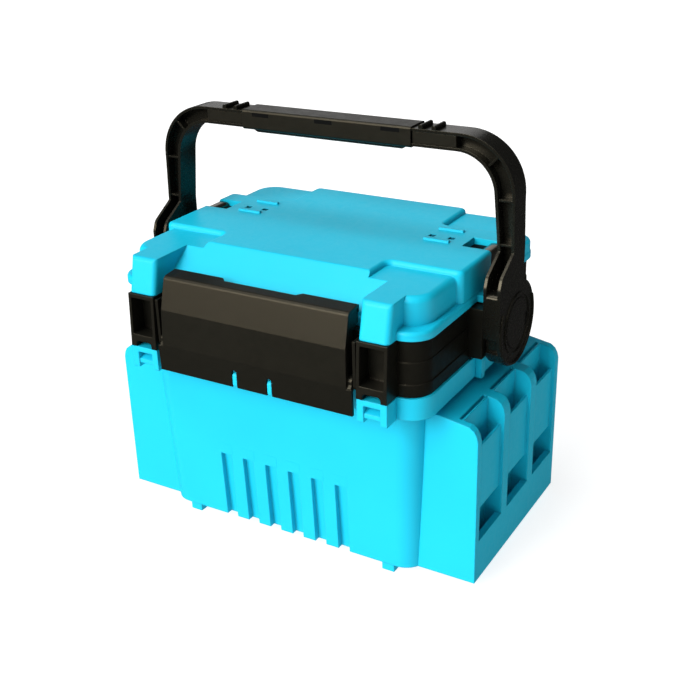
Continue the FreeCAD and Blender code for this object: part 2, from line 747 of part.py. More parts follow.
def make_rack():
    """Side block with three narrow open pockets, cut to lie on the drafted side of the tub."""
    body = new_body("Rack")
    outline = new_sketch(body, "RackOutline", "XZ_Plane", "-rack_back")
    polygon(outline, [
        ("tub_base_half - 12", "foot_height"),
        ("rack_half", "foot_height"),
        ("rack_half", "rack_edge_level"),
        ("rack_half - 1.2", "rack_edge_level + 5"),
        ("rack_half - 3.6", "rack_edge_level + 9.5"),
        ("rack_slope_side", "rack_slope_level"),
        ("rack_crest_side", "rack_shoulder"),
        ("tub_base_half - 12", "rack_shoulder"),
    ])
    pad(body, "RackBlock", outline, "rack_back - rack_front")
    room = "((rack_back - rack_front - 2 * pocket_end_wall - 2 * pocket_rib) / 3)"
    pitch = "(%s + pocket_rib)" % room
    start = "(rack_front + pocket_end_wall)"
    # recess of the outer face
    face = new_sketch(body, "RecessOutline", "XY_Plane", "window_bottom")
    rectangle(face, "rack_half - pocket_recess", "rack_half + 1", start, "%s + %s" % (start, room))
    recess = pocket(body, "Recess", face, "rack_shoulder - window_bottom")
    # pocket with an open top
    well = new_sketch(body, "WellOutline", "XY_Plane", "pocket_floor")
    rectangle(well, "pocket_inner_side", "rack_half - pocket_recess - pocket_skin", start, "%s + %s" % (start, room))
    cell = pocket(body, "Well", well, "rack_shoulder - pocket_floor")
    # the outer wall is low, and has a window
    gate = new_sketch(body, "GateOutline", "XY_Plane", "pocket_wall_top")
    rectangle(gate, "rack_half - pocket_recess - pocket_skin - 1", "rack_half + 1", start, "%s + %s" % (start, room))
    low_wall = pocket(body, "Gate", gate, "rack_shoulder - pocket_wall_top")
    pane = new_sketch(body, "WindowOutline", "XY_Plane", "window_bottom")
    rectangle(pane, "rack_half - pocket_recess - pocket_skin - 1", "rack_half + 1", start, "%s + %s" % (start, room))
    window = pocket(body, "Window", pane, "window_top - window_bottom")
    # narrow slit beside the ledge, in front of a thin liner wall
    slit = new_sketch(body, "SlitOutline", "XY_Plane", "rack_shoulder - pocket_slit_depth")
    rectangle(slit, "pocket_inner_side - pocket_liner - pocket_slit", "pocket_inner_side - pocket_liner",
              start, "%s + %s" % (start, room))
    gap = pocket(body, "Slit", slit, "pocket_slit_depth")
    along(body, [recess, cell, low_wall, window, gap], "Pockets", "Y_Axis", pitch, "3")
    under = new_sketch(body, "RackUnderOutline", "XY_Plane", "foot_height")
    rectangle(under, "tub_base_half - 13", "rack_hollow_side", start, "rack_back - pocket_end_wall")
    pocket(body, "RackUnder", under, "rack_shoulder - rack_ledge - foot_height")
    tool = new_body("TubTool")
    loft(tool, "AdditiveLoft", "TubToolBody", tub_form(tool, "Tool", "0", "foot_height", "0"))
    right = cut("RackRight", body, tool)
    subpart(right, "pocket_rack_right")
    subpart(mirrored(right, "RackLeft"), "pocket_rack_left")


def make_brackets():
    """Blocks under the sockets, with a ramp between two legs."""
    body = new_body("Bracket")
    top = "(collar_top - part_gap)"
    outline = new_sketch(body, "BracketOutline", "XZ_Plane", "-band_front")
    rectangle(outline, "bracket_inner_side", "bracket_inner_side + bracket_width", "bracket_bottom", top)
    pad(body, "BracketBlock", outline, "band_front - bracket_front")
    ramp = new_sketch(body, "RampProfile", "YZ_Plane", "bracket_inner_side + bracket_leg")
    polygon(ramp, [
        ("bracket_front - 1", "bracket_bottom - 1"),
        ("band_front", "bracket_bottom - 1"),
        ("band_front", "bracket_bottom + bracket_ramp"),
        ("bracket_front + bracket_relief", "bracket_bottom + bracket_ramp"),
        ("bracket_front + bracket_relief", "bracket_bottom + 2 * bracket_ramp"),
        ("band_front", top + " - bracket_bar"),
        ("bracket_front - 1", top + " - bracket_bar"),
    ])
    pocket(body, "Ramp", ramp, "bracket_width - 2 * bracket_leg")
    pair(body, "front_brackets")


def make_keepers():
    body = new_body("Keeper")
    outline = new_sketch(body, "KeeperOutline", "YZ_Plane", "keeper_offset - keeper_width / 2")
    smooth_polygon(outline, [
        ("band_front", "keeper_bottom"),
        ("keeper_front", "keeper_bottom"),
        ("keeper_front", "keeper_top"),
        ("band_front", "keeper_top"),
    ], {1: "keeper_round", 2: "keeper_round"})
    pad(body, "KeeperFin", outline, "keeper_width")
    pair(body, "latch_keepers")


def make_side_lugs():
    """Blocks on the tub's collar, under the bosses of the handle."""
    body = new_body("SideLug")
    outline = new_sketch(body, "SideLugOutline", "XY_Plane", "collar_top - side_lug_drop")
    rectangle(outline, "band_half", "band_half + side_lug_reach",
              "pivot_line - side_lug_half", "pivot_line + side_lug_half")
    pad(body, "SideLugBlock", outline, "side_lug_drop")
    hollow = new_sketch(body, "SideLugHollow", "XY_Plane", "collar_top - side_lug_drop")
    rectangle(hollow, "band_half + tub_wall", "band_half + side_lug_reach + 1",
              "pivot_line - side_lug_half + bracket_leg", "pivot_line + side_lug_half - bracket_leg")
    pocket(body, "SideLugRoom", hollow, "side_lug_drop - bracket_bar")
    pair(body, "tub_side_lugs")


# ---------------------------------------------------------------- hinges

def knuckle(name, low, high, axis_level, web_low, web_high, seat):
    """One barrel of a hinge with the web that carries it."""
    body = new_body(name)
    web = new_sketch(body, name + "Web", "YZ_Plane", low)
    rectangle(web, "band_back - " + seat, "band_back + hinge_offset", web_low, web_high)
    pad(body, name + "WebPad", web, "%s - (%s)" % (high, low))
    barrel = new_sketch(body, name + "Barrel", "YZ_Plane", low)
    circle(barrel, "band_back + hinge_offset", axis_level, "knuckle_radius")
    pad(body, name + "BarrelPad", barrel, "%s - (%s)" % (high, low))
    bore = new_sketch(body, name + "Bore", "YZ_Plane", low)
    circle(bore, "band_back + hinge_offset", axis_level, "hinge_pin_radius + running_clearance")
    pocket(body, name + "BorePocket", bore, "%s - (%s)" % (high, low))
    return body


def knuckle_set(label, axis_level, web_low, web_high, middle, seat="0"):
    """Either the middle barrel or the two outer barrels of both hinges."""
    half = "knuckle_length / 2"
    items = []
    if middle:
        spans = [("hinge_station - %s" % half, "hinge_station + %s" % half)]
    else:
        spans = [("hinge_station - %s - knuckle_gap - knuckle_length" % half,
                  "hinge_station - %s - knuckle_gap" % half),
                 ("hinge_station + %s + knuckle_gap" % half,
                  "hinge_station + %s + knuckle_gap + knuckle_length" % half)]
    for i, (low, high) in enumerate(spans):
        one = knuckle("%s%d" % (label.replace("_", ""), i), low, high, axis_level, web_low, web_high, seat)
        items += [one, mirrored(one, label + "_twin%d" % i)]
    subpart(group(label + "_set", items), label)


def hinge_pins(label, axis_level):
    body = new_body(label.replace("_", "") + "Pin")
    ring = new_sketch(body, label + "_outline", "YZ_Plane",
                      "hinge_station - 1.5 * knuckle_length - knuckle_gap")
    circle(ring, "band_back + hinge_offset", axis_level, "hinge_pin_radius")
    pad(body, label + "_rod", ring, "3 * knuckle_length + 2 * knuckle_gap")
    pair(body, label)


def make_hinges():
    knuckle_set("tub_hinge_knuckles", "collar_top", "collar_top - knuckle_web", "collar_top", False)
    knuckle_set("tier_lower_knuckles", "collar_top", "collar_top + part_gap", "collar_top + knuckle_web", True,
                "tier_inset")
    knuckle_set("tier_upper_knuckles", "tier_top", "tier_top - knuckle_web", "tier_top", False,
                BELT_IN)
    knuckle_set("lid_hinge_knuckles", "tier_top", "tier_top + part_gap",
                "lid_flange_top - flange_round", True)
    hinge_pins("tub_hinge_pins", "collar_top")
    hinge_pins("lid_hinge_pins", "tier_top")


# ---------------------------------------------------------------- tier

def belt_face(face, inward, low, high):
    """Points up the stepped face of the tier, from one level to another."""
    first = "%s %s tier_inset" % (face, inward)
    second = "%s %s tier_step" % (first, inward)
    third = "%s %s tier_step" % (second, inward)
    return [(first, low), (first, "tier_low_belt"), (second, "tier_low_belt"), (second, "tier_mid_belt"),
            (third, "tier_mid_belt"), (third, high)]


def make_tier_frame():
    body = new_body("TierFrame")
    belts = [
        ("LowBelt", "(tier_inset)", "collar_top + part_gap", "tier_low_belt"),
        ("MidBelt", "(tier_inset + tier_step)", "tier_low_belt", "tier_mid_belt"),
        ("TopBelt", BELT_IN, "tier_mid_belt", "tier_top"),
    ]
    for name, inset, low, high in belts:
        sketch = new_sketch(body, name + "Outline", "XY_Plane", low)
        ring_outline(sketch, inset)
        pad(body, name, sketch, "%s - (%s)" % (high, low))
    room = new_sketch(body, "FrameRoom", "XY_Plane", "collar_top + part_gap + tier_sill_height")
    ring_outline(room, "(%s + tier_wall)" % BELT_IN)
    pocket(body, "Room", room, "tier_top - collar_top - part_gap - tier_sill_height")
    sill = new_sketch(body, "SillOutline", "XY_Plane", "collar_top + part_gap")
    ring_outline(sill, "(%s + tier_wall + tier_sill)" % BELT_IN)
    pocket(body, "SillOpening", sill, "tier_sill_height")
    # shelf that closes the top of the tier in front of the lid's mouth
    shelf = new_sketch(body, "ShelfOutline", "XY_Plane", "tier_top - tier_sill_height")
    rectangle(shelf, "-(bracket_inner_side + 4)", "bracket_inner_side + 4",
              "band_front + %s + 0.5" % BELT_IN, "lid_mouth_front + 1")
    pad(body, "Shelf", shelf, "tier_sill_height")
    return subpart(body, "tier_frame")


def make_tray():
    """Drop-in tray with a fixed lengthwise wall."""
    body = new_body("Tray")
    inset = "(%s + tier_wall + tray_gap)" % BELT_IN
    front = "lid_mouth_front + 1 + tray_gap"
    low = "(collar_top + part_gap + tier_sill_height)"
    outer = new_sketch(body, "TrayOutline", "XY_Plane", low)
    rounded(outer, "-(band_half - %s)" % inset, "band_half - %s" % inset, front,
            "band_back - %s" % inset, "band_round - %s" % inset)
    pad(body, "TrayBlock", outer, "tier_top - tray_drop - %s" % low)
    front_room = new_sketch(body, "FrontRoomOutline", "XY_Plane", low + " + tray_floor")
    rounded(front_room, "-(band_half - %s - tray_wall)" % inset, "band_half - %s - tray_wall" % inset,
            front + " + tray_wall", "pivot_line - tray_wall / 2", "3")
    pocket(body, "FrontRoom", front_room, "tier_top - tray_drop - tray_floor - %s" % low)
    back_room = new_sketch(body, "BackRoomOutline", "XY_Plane", low + " + tray_floor")
    rounded(back_room, "-(band_half - %s - tray_wall)" % inset, "band_half - %s - tray_wall" % inset,
            "pivot_line + tray_wall / 2", "band_back - %s - tray_wall" % inset, "3")
    pocket(body, "BackRoom", back_room, "tier_top - tray_drop - tray_floor - %s" % low)
    return subpart(body, "tier_tray")


def make_dividers():
    """Loose cross plates that stand in the tray's two rooms."""
    inset = "(%s + tier_wall + tray_gap)" % BELT_IN
    front = "lid_mouth_front + 1 + tray_gap"
    low = "(collar_top + part_gap + tier_sill_height + tray_floor)"
    high = "(tier_top - tray_drop - divider_drop)"
    items = []
    rooms = [(front + " + tray_wall", "pivot_line - tray_wall / 2"),
             ("pivot_line + tray_wall / 2", "band_back - %s - tray_wall" % inset)]
    for i, (start, end) in enumerate(rooms):
        body = new_body("Divider%d" % i)
        sketch = new_sketch(body, "DividerOutline%d" % i, "YZ_Plane", "tray_wall_offset")
        polygon(sketch, [
            (start + " + divider_slack", low),
            (end + " - divider_slack", low),
            (end + " - divider_slack", high),
            ("(%s + %s) / 2 + 14" % (start, end), high),
            ("(%s + %s) / 2 + 10" % (start, end), high + " - 6"),
            ("(%s + %s) / 2 - 10" % (start, end), high + " - 6"),
            ("(%s + %s) / 2 - 14" % (start, end), high),
            (start + " + divider_slack", high),
        ])
        pad(body, "DividerPlate%d" % i, sketch, "divider_thickness")
        items += [body, mirrored(body, "DividerTwin%d" % i)]
    subpart(group("DividerGroup", items), "tray_dividers")


def make_sockets():
    """Open-fronted boxes whose two legs stand on the brackets of the tub."""
    body = new_body("Socket")
    foot = "collar_top + part_gap"
    head = "tier_top - 0.2"
    profile = new_sketch(body, "SocketProfile", "YZ_Plane", "bracket_inner_side")
    polygon(profile, belt_face("band_front", "+", foot, head)
            + [("socket_head_front", head), ("socket_foot_front", foot)])
    pad(body, "SocketBlock", profile, "bracket_width")
    plate = "(band_front + tier_inset - socket_back)"
    depth = plate + " - socket_foot_front + 1"
    mouth = new_sketch(body, "SocketMouth", "XZ_Plane", "-" + plate)
    rounded(mouth, "bracket_inner_side + socket_skin", "bracket_inner_side + bracket_width - socket_skin",
            foot + " + socket_leg_drop + socket_sill", head + " - socket_lintel", "1.2")
    pocket(body, "SocketRoom", mouth, depth)
    arch = new_sketch(body, "SocketArch", "XZ_Plane", "-" + plate)
    smooth_polygon(arch, [
        ("bracket_inner_side + socket_leg", foot + " - 1"),
        ("bracket_inner_side + bracket_width - socket_leg", foot + " - 1"),
        ("bracket_inner_side + bracket_width - socket_leg", foot + " + socket_leg_drop"),
        ("bracket_inner_side + socket_leg", foot + " + socket_leg_drop"),
    ], {2: "socket_round", 3: "socket_round"})
    pocket(body, "SocketArchCut", arch, depth)
    pair(body, "front_sockets")


def make_pivot_plates():
    """Upright plates beside the sockets that hold the pins of the latch."""
    body = new_body("PivotPlate")
    side = "(bracket_inner_side - pivot_plate_gap - pivot_plate)"
    nose = "latch_pivot_front - latch_ear_radius + 1"
    outline = new_sketch(body, "PivotPlateOutline", "YZ_Plane", side)
    smooth_polygon(outline, belt_face("band_front", "+", "pivot_plate_bottom", "pivot_plate_top")
                   + [(nose, "pivot_plate_top"), (nose, "pivot_plate_bottom")], {7: "latch_ear_radius - 1"})
    pad(body, "PivotPlateBlock", outline, "pivot_plate")
    bore = new_sketch(body, "PivotPlateBore", "YZ_Plane", side)
    circle(bore, "latch_pivot_front", "latch_pivot_level", "latch_pin_radius + running_clearance")
    pocket(body, "PivotPlateHole", bore, "pivot_plate")
    pair(body, "latch_pivot_plates")
    pin = new_body("LatchPin")
    ring = new_sketch(pin, "LatchPinOutline", "YZ_Plane", side + " - latch_side_gap - latch_ear_width + 1")
    circle(ring, "latch_pivot_front", "latch_pivot_level", "latch_pin_radius")
    pad(pin, "LatchPinRod", ring, "pivot_plate + latch_side_gap + latch_ear_width - 1")
    pair(pin, "latch_pins")


def make_bosses():
    """Pads on the sides of the tier that carry the handle."""
    body = new_body("Boss")
    outline = new_sketch(body, "BossOutline", "XZ_Plane", "-(pivot_line + boss_half)")
    polygon(outline, belt_face("band_half", "-", "boss_bottom", "boss_top")
            + [("boss_reach", "boss_top"), ("boss_reach", "boss_bottom")])
    pad(body, "BossBlock", outline, "2 * boss_half")
    seat = new_sketch(body, "BossSeat", "YZ_Plane", "boss_reach - bolt_seat")
    circle(seat, "pivot_line", "pivot_level", "bolt_radius + running_clearance")
    pocket(body, "BossSeatHole", seat, "bolt_seat")
    pair(body, "handle_bosses")
    bolt = new_body("Bolt")
    ring = new_sketch(bolt, "BoltOutline", "YZ_Plane", "boss_reach - bolt_seat")
    circle(ring, "pivot_line", "pivot_level", "bolt_radius")
    pad(bolt, "BoltShank", ring, "arm_outer_side - cap_seat - part_gap - boss_reach + bolt_seat")
    pair(bolt, "handle_pivot_bolts")


# ---------------------------------------------------------------- lid

def make_lid():
    body = new_body("Lid")
    low = "(tier_top + part_gap)"
    flange = new_sketch(body, "FlangeOutline", "XY_Plane", low)
    ring_outline(flange, "0")
    pad(body, "Flange", flange, "lid_flange_top - %s" % low)
    rim = num("lid_flange_top")
    fillet(body, "FlangeRound", lambda e: flat_at(e, rim), "flange_round")
    # rear deck, a little higher than the flange
    deck = new_sketch(body, "DeckOutline", "XY_Plane", low)
    rounded(deck, "-(band_half - deck_inset)", "band_half - deck_inset", "deck_start",
            "band_back - deck_inset", "band_round - deck_inset")
    pad(body, "Deck", deck, "lid_flange_top + deck_height - %s" % low)
    edge = num("lid_flange_top + deck_height")
    fillet(body, "DeckRound", lambda e: flat_at(e, edge), "deck_round")
    block = new_sketch(body, "LowBlockOutline", "XY_Plane", low)
    rounded(block, "-lid_low_half", "lid_low_half", "lid_low_front", "lid_low_back", "lid_low_round")
    pad(body, "LowBlock", block, "lid_low_top - %s" % low)
    step = num("lid_low_top")
    fillet(body, "StepRound", lambda e: flat_at(e, step), "step_round")
    column = new_sketch(body, "ColumnProfile", "YZ_Plane", "bracket_inner_side")
    polygon(column, [
        ("column_foot_front", low),
        ("column_back", low),
        ("column_back", "lid_low_top"),
        ("column_head_front", "lid_low_top"),
    ])
    columns = pad(body, "Column", column, "bracket_width")
    mirror_features(body, [columns], "Columns")
    brow = num("column_head_front + 1")
    fillet(body, "ColumnRound",
           lambda e: e.BoundBox.YMax < brow and e.BoundBox.ZMax > step - 0.1, "column_round")
    wide = new_sketch(body, "PlateauOutline", "XY_Plane", "lid_flange_top")
    rounded(wide, "-plateau_half", "plateau_half", "plateau_front", "plateau_back", "plateau_round")
    pad(body, "Plateau", wide, "lid_top - lid_flange_top")
    ridge = new_sketch(body, "RidgeOutline", "XY_Plane", "lid_flange_top")
    rounded(ridge, "-ridge_half", "ridge_half", "ridge_front - 2 * plateau_round", "ridge_back", "plateau_round")
    pad(body, "Ridge", ridge, "lid_top - lid_flange_top")
    side = num("ridge_half")
    inner = [num("plateau_front"), num("plateau_back")]
    fillet(body, "RidgeCorner",
           lambda e: upright(e) and near(abs(e.CenterOfMass.x), side)
           and any(near(e.CenterOfMass.y, y) for y in inner), "plateau_round")
    lug = new_sketch(body, "LidLugOutline", "XY_Plane", low)
    rectangle(lug, "band_half - 1", "band_half + lid_lug_reach",
              "pivot_line - side_lug_half", "pivot_line + side_lug_half")
    lugs = pad(body, "LidLug", lug, "lid_flange_top - %s - 1.5" % low)
    mirror_features(body, [lugs], "LidLugs")
    # front slope between the columns, and the mouth below it
    slope = new_sketch(body, "SlopeProfile", "YZ_Plane", "-bracket_inner_side")
    polygon(slope, [
        ("lid_mouth_front - 40", low),
        ("lid_mouth_front", low),
        ("lid_mouth_front", "lid_top - lid_slope_fall"),
        ("ridge_front", "lid_top"),
        ("ridge_front", "lid_top + 4"),
        ("lid_mouth_front - 40", "lid_top + 4"),
    ])
    pocket(body, "Slope", slope, "2 * bracket_inner_side")
    crown = num("lid_top")
    fillet(body, "CrownRound", lambda e: flat_at(e, crown), "lid_edge_round")
    # hollow underside in two levels, and a third under the front slope
    room = new_sketch(body, "LidRoomOutline", "XY_Plane", low)
    rounded(room, "-(lid_low_half - lid_wall)", "lid_low_half - lid_wall",
            "ridge_front + lid_wall", "lid_low_back - lid_wall", "lid_low_round - lid_wall")
    pocket(body, "LidRoom", room, "lid_low_top - lid_wall - %s" % low)
    attic = new_sketch(body, "AtticOutline", "XY_Plane", "lid_low_top - lid_wall")
    rectangle(attic, "-(ridge_half - lid_wall - lid_edge_round)", "ridge_half - lid_wall - lid_edge_round",
              "ridge_front + lid_wall + lid_edge_round", "ridge_back - lid_wall - lid_edge_round")
    pocket(body, "Attic", attic, "lid_top - lid_low_top")
    bay = new_sketch(body, "SlopeRoomProfile", "YZ_Plane", "-(bracket_inner_side - lid_wall)")
    polygon(bay, [
        ("lid_mouth_front + lid_wall", low),
        ("lid_mouth_front + lid_wall", "lid_top - lid_slope_fall - lid_wall"),
        ("ridge_front + lid_wall", "lid_low_top - lid_wall"),
        ("ridge_front + 2 * lid_wall", "lid_low_top - lid_wall"),
        ("ridge_front + 2 * lid_wall", low),
    ])
    pocket(body, "SlopeRoom", bay, "2 * (bracket_inner_side - lid_wall)")
    cheek = new_sketch(body, "CheekOutline", "XY_Plane", low)
    rectangle(cheek, "bracket_inner_side + lid_wall", "lid_low_half - lid_low_round / 2",
              "lid_low_front + lid_wall", "ridge_front + 2 * lid_wall")
    cheeks = pocket(body, "Cheek", cheek, "lid_low_top - lid_wall - %s" % low)
    mirror_features(body, [cheeks], "Cheeks")
    # side notches with their own floor and walls
    box = new_sketch(body, "NotchBoxOutline", "XY_Plane", "notch_floor - lid_wall")
    rectangle(box, "notch_inner_side - lid_wall", "lid_low_half",
              "notch_front - lid_wall", "notch_back + lid_wall")
    boxes = pad(body, "NotchBox", box, "lid_low_top - notch_floor + lid_wall")
    mirror_features(body, [boxes], "NotchBoxes")
    cutter = new_sketch(body, "NotchOutline", "XY_Plane", "notch_floor")
    rectangle(cutter, "notch_inner_side", "plateau_half + 2", "notch_front", "notch_back")
    notch = pocket(body, "Notch", cutter, "lid_top - notch_floor + 1")
    mirror_features(body, [notch], "Notches")
    # raised rails and square holes beside the notches
    rail = new_sketch(body, "RailOutline", "XY_Plane", "lid_top - 0.5")
    rectangle(rail, "rail_inner_side", "rail_inner_side + rail_length", "rail_front", "rail_front + rail_width")
    near_rail = pad(body, "Rail", rail, "rail_rise + 0.5")
    far = new_sketch(body, "FarRailOutline", "XY_Plane", "lid_top - 0.5")
    rectangle(far, "rail_inner_side", "rail_inner_side + rail_length",
              "rail_front + rail_pitch", "rail_front + rail_pitch + rail_width")
    far_rail = pad(body, "FarRail", far, "rail_rise + 0.5")
    mirror_features(body, [near_rail, far_rail], "Rails")
    holes = []
    for word in ("near", "far"):
        hole = new_sketch(body, "SquareHole_" + word, "XY_Plane", "lid_top - socket_hole_depth")
        rectangle(hole, "socket_hole_%s - socket_hole / 2" % word, "socket_hole_%s + socket_hole / 2" % word,
                  "socket_hole_line - socket_hole / 2", "socket_hole_line + socket_hole / 2")
        holes.append(pocket(body, "SquareHolePocket_" + word, hole, "socket_hole_depth + 1"))
    mirror_features(body, holes, "SquareHoles")
    return subpart(body, "lid_shell")


def make_catches():
    """Black blocks that stand in the lid's side notches, inside the arms of the handle."""
    body = new_body("Catch")
    outline = new_sketch(body, "CatchProfile", "XZ_Plane", "-(notch_back - catch_inset)")
    polygon(outline, [
        ("notch_inner_side + catch_inset", "notch_floor"),
        ("plateau_half", "notch_floor"),
        ("plateau_half", "notch_floor + catch_rise - 3"),
        ("plateau_half - catch_width", "notch_floor + catch_rise"),
        ("plateau_half - catch_width", "notch_floor + catch_floor_rise"),
        ("notch_inner_side + catch_inset", "notch_floor + catch_floor_rise"),
    ])
    pad(body, "CatchBlock", outline, "notch_back - notch_front - 2 * catch_inset")
    pair(body, "lid_side_catches")


# ---------------------------------------------------------------- latch

def make_latch():
    body = new_body("Latch")
    half = "latch_foot_half"
    profile = new_sketch(body, "LatchProfile", "YZ_Plane", "-" + half)
    smooth_polygon(profile, [
        ("latch_foot_front", "latch_foot"),
        ("latch_foot_front + latch_skin", "latch_foot"),
        ("latch_belly_front + latch_skin", "latch_belly"),
        ("latch_crease_front + latch_skin", "latch_crease"),
        ("latch_head_front + latch_skin", "latch_head - latch_skin"),
        ("latch_back - 2", "latch_head + 2 - latch_skin"),
        ("latch_back - 2", "latch_head + 2 - latch_skin - latch_hook_drop"),
        ("latch_back", "latch_head + 2 - latch_skin - latch_hook_drop"),
        ("latch_back", "latch_head + 2"),
        ("latch_head_front", "latch_head"),
        ("latch_crease_front", "latch_crease"),
        ("latch_belly_front", "latch_belly"),
    ], {8: "latch_skin / 2", 9: "latch_top_round"})
    pad(body, "LatchSkin", profile, "2 * " + half)
    # sides that narrow upward from a shoulder below the pins
    trim = new_sketch(body, "LatchTrim", "XZ_Plane", "-(latch_back + 1)")
    polygon(trim, [
        ("latch_side_half", "latch_shoulder"),
        (half + " + 2", "latch_shoulder"),
        (half + " + 2", "latch_head + 4"),
        ("latch_head_half", "latch_head + 4"),
    ])
    trims = pocket(body, "LatchTrimCut", trim, "latch_back + 1 - latch_belly_front + 2")
    mirror_features(body, [trims], "LatchSides")
    # end plates and the ears that run on the pins
    plate = new_sketch(body, "LatchEndProfile", "YZ_Plane", "latch_head_half - latch_end_plate - 0.5")
    polygon(plate, [
        ("latch_foot_front + 1", "latch_foot + 1"),
        ("latch_foot_front + 2 * latch_skin", "latch_foot + 1"),
        ("band_front - latch_band_gap", "latch_pivot_level - latch_ear_radius"),
        ("band_front - latch_band_gap", "tier_top + 2"),
        ("latch_back - 1", "tier_top + 6"),
        ("latch_back - 1", "latch_head"),
        ("latch_head_front + 2", "latch_head - 2.5"),
        ("latch_crease_front + 1", "latch_crease"),
        ("latch_belly_front + 1", "latch_belly"),
    ])
    plates = pad(body, "LatchEnd", plate, "latch_end_plate")
    ear_side = "(bracket_inner_side - pivot_plate_gap - pivot_plate - latch_side_gap)"
    arm = new_sketch(body, "LatchArmOutline", "YZ_Plane", "latch_head_half - latch_end_plate - 0.5")
    polygon(arm, [
        ("latch_belly_front + 1", "latch_shoulder - 1.5 * latch_ear_radius"),
        ("latch_pivot_front", "latch_pivot_level - latch_ear_radius"),
        ("latch_pivot_front", "latch_pivot_level + latch_ear_radius"),
        ("latch_belly_front + 1", "latch_shoulder"),
    ])
    arms = pad(body, "LatchArm", arm, "%s - (latch_head_half - latch_end_plate - 0.5)" % ear_side)
    ear = new_sketch(body, "LatchEarOutline", "YZ_Plane", "latch_head_half - latch_end_plate - 0.5")
    circle(ear, "latch_pivot_front", "latch_pivot_level", "latch_ear_radius")
    ears = pad(body, "LatchEar", ear, "%s - (latch_head_half - latch_end_plate - 0.5)" % ear_side)
    bore = new_sketch(body, "LatchEarBore", "YZ_Plane", ear_side + " - latch_ear_width")
    circle(bore, "latch_pivot_front", "latch_pivot_level", "latch_pin_radius + running_clearance")
    bores = pocket(body, "LatchEarHole", bore, "latch_ear_width")
    mirror_features(body, [plates, arms, ears, bores], "LatchEnds")
    # stepped rear edge, and slots over the keepers
    dip = new_sketch(body, "LatchDip", "XY_Plane", "latch_head - 8")
    polygon(dip, [
        ("-latch_cut_half", "latch_back + 1"),
        ("-latch_cut_half", "latch_back"),
        ("-latch_cut_half + latch_cut_depth", "latch_back - latch_cut_depth"),
        ("latch_cut_half - latch_cut_depth", "latch_back - latch_cut_depth"),
        ("latch_cut_half", "latch_back"),
        ("latch_cut_half", "latch_back + 1"),
    ])
    pocket(body, "LatchDipCut", dip, "12")
    slot = new_sketch(body, "LatchSlot", "XZ_Plane", "-(latch_foot_front + 3 * latch_skin)")
    smooth_polygon(slot, [
        ("keeper_offset - latch_slot_width / 2", "latch_foot - 1"),
        ("keeper_offset + latch_slot_width / 2", "latch_foot - 1"),
        ("keeper_offset + latch_slot_width / 2", "latch_slot_top"),
        ("keeper_offset - latch_slot_width / 2", "latch_slot_top"),
    ], {2: "latch_slot_width / 2 - 0.6", 3: "latch_slot_width / 2 - 0.6"})
    slots = pocket(body, "LatchSlotCut", slot, "3 * latch_skin + 2")
    mirror_features(body, [slots], "LatchSlots")
    return subpart(body, "latch_panel")


# ---------------------------------------------------------------- handle

def bail_points(inset, foot):
    """Outline of the handle's arms and bar, set in by a flange."""
    lean = "((arm_inner_side - bend_inner_side) / (bend_level - kink_level))"
    corner = "(bend_inner_side - %s * (bar_bottom - bend_level) + %s)" % (lean, inset)
    outer = "(bend_outer_side - %s)" % inset
    kink_out = "(arm_outer_side - %s)" % inset
    kink_in = "(arm_inner_side + %s)" % inset
    top = "(bar_top - %s)" % inset
    under = "(bar_bottom + %s)" % inset
    outside = [(kink_out, foot), (kink_out, "kink_level"), (outer, "bend_level"), (outer, top)]
    inside = [(corner, under), (kink_in, "kink_level"), (kink_in, foot)]
    points = list(outside)
    points += [("-" + a, b) for a, b in reversed(outside)]
    points += [("-" + a, b) for a, b in reversed(inside)]
    points += inside
    return points


def bail_outline(sketch, inset, foot):
    outer = "(bend_round - %s)" % inset
    inner = "(bend_round - (bar_top - bar_bottom) + %s)" % inset
    return smooth_polygon(sketch, bail_points(inset, foot), {3: outer, 4: outer, 10: inner, 11: inner})


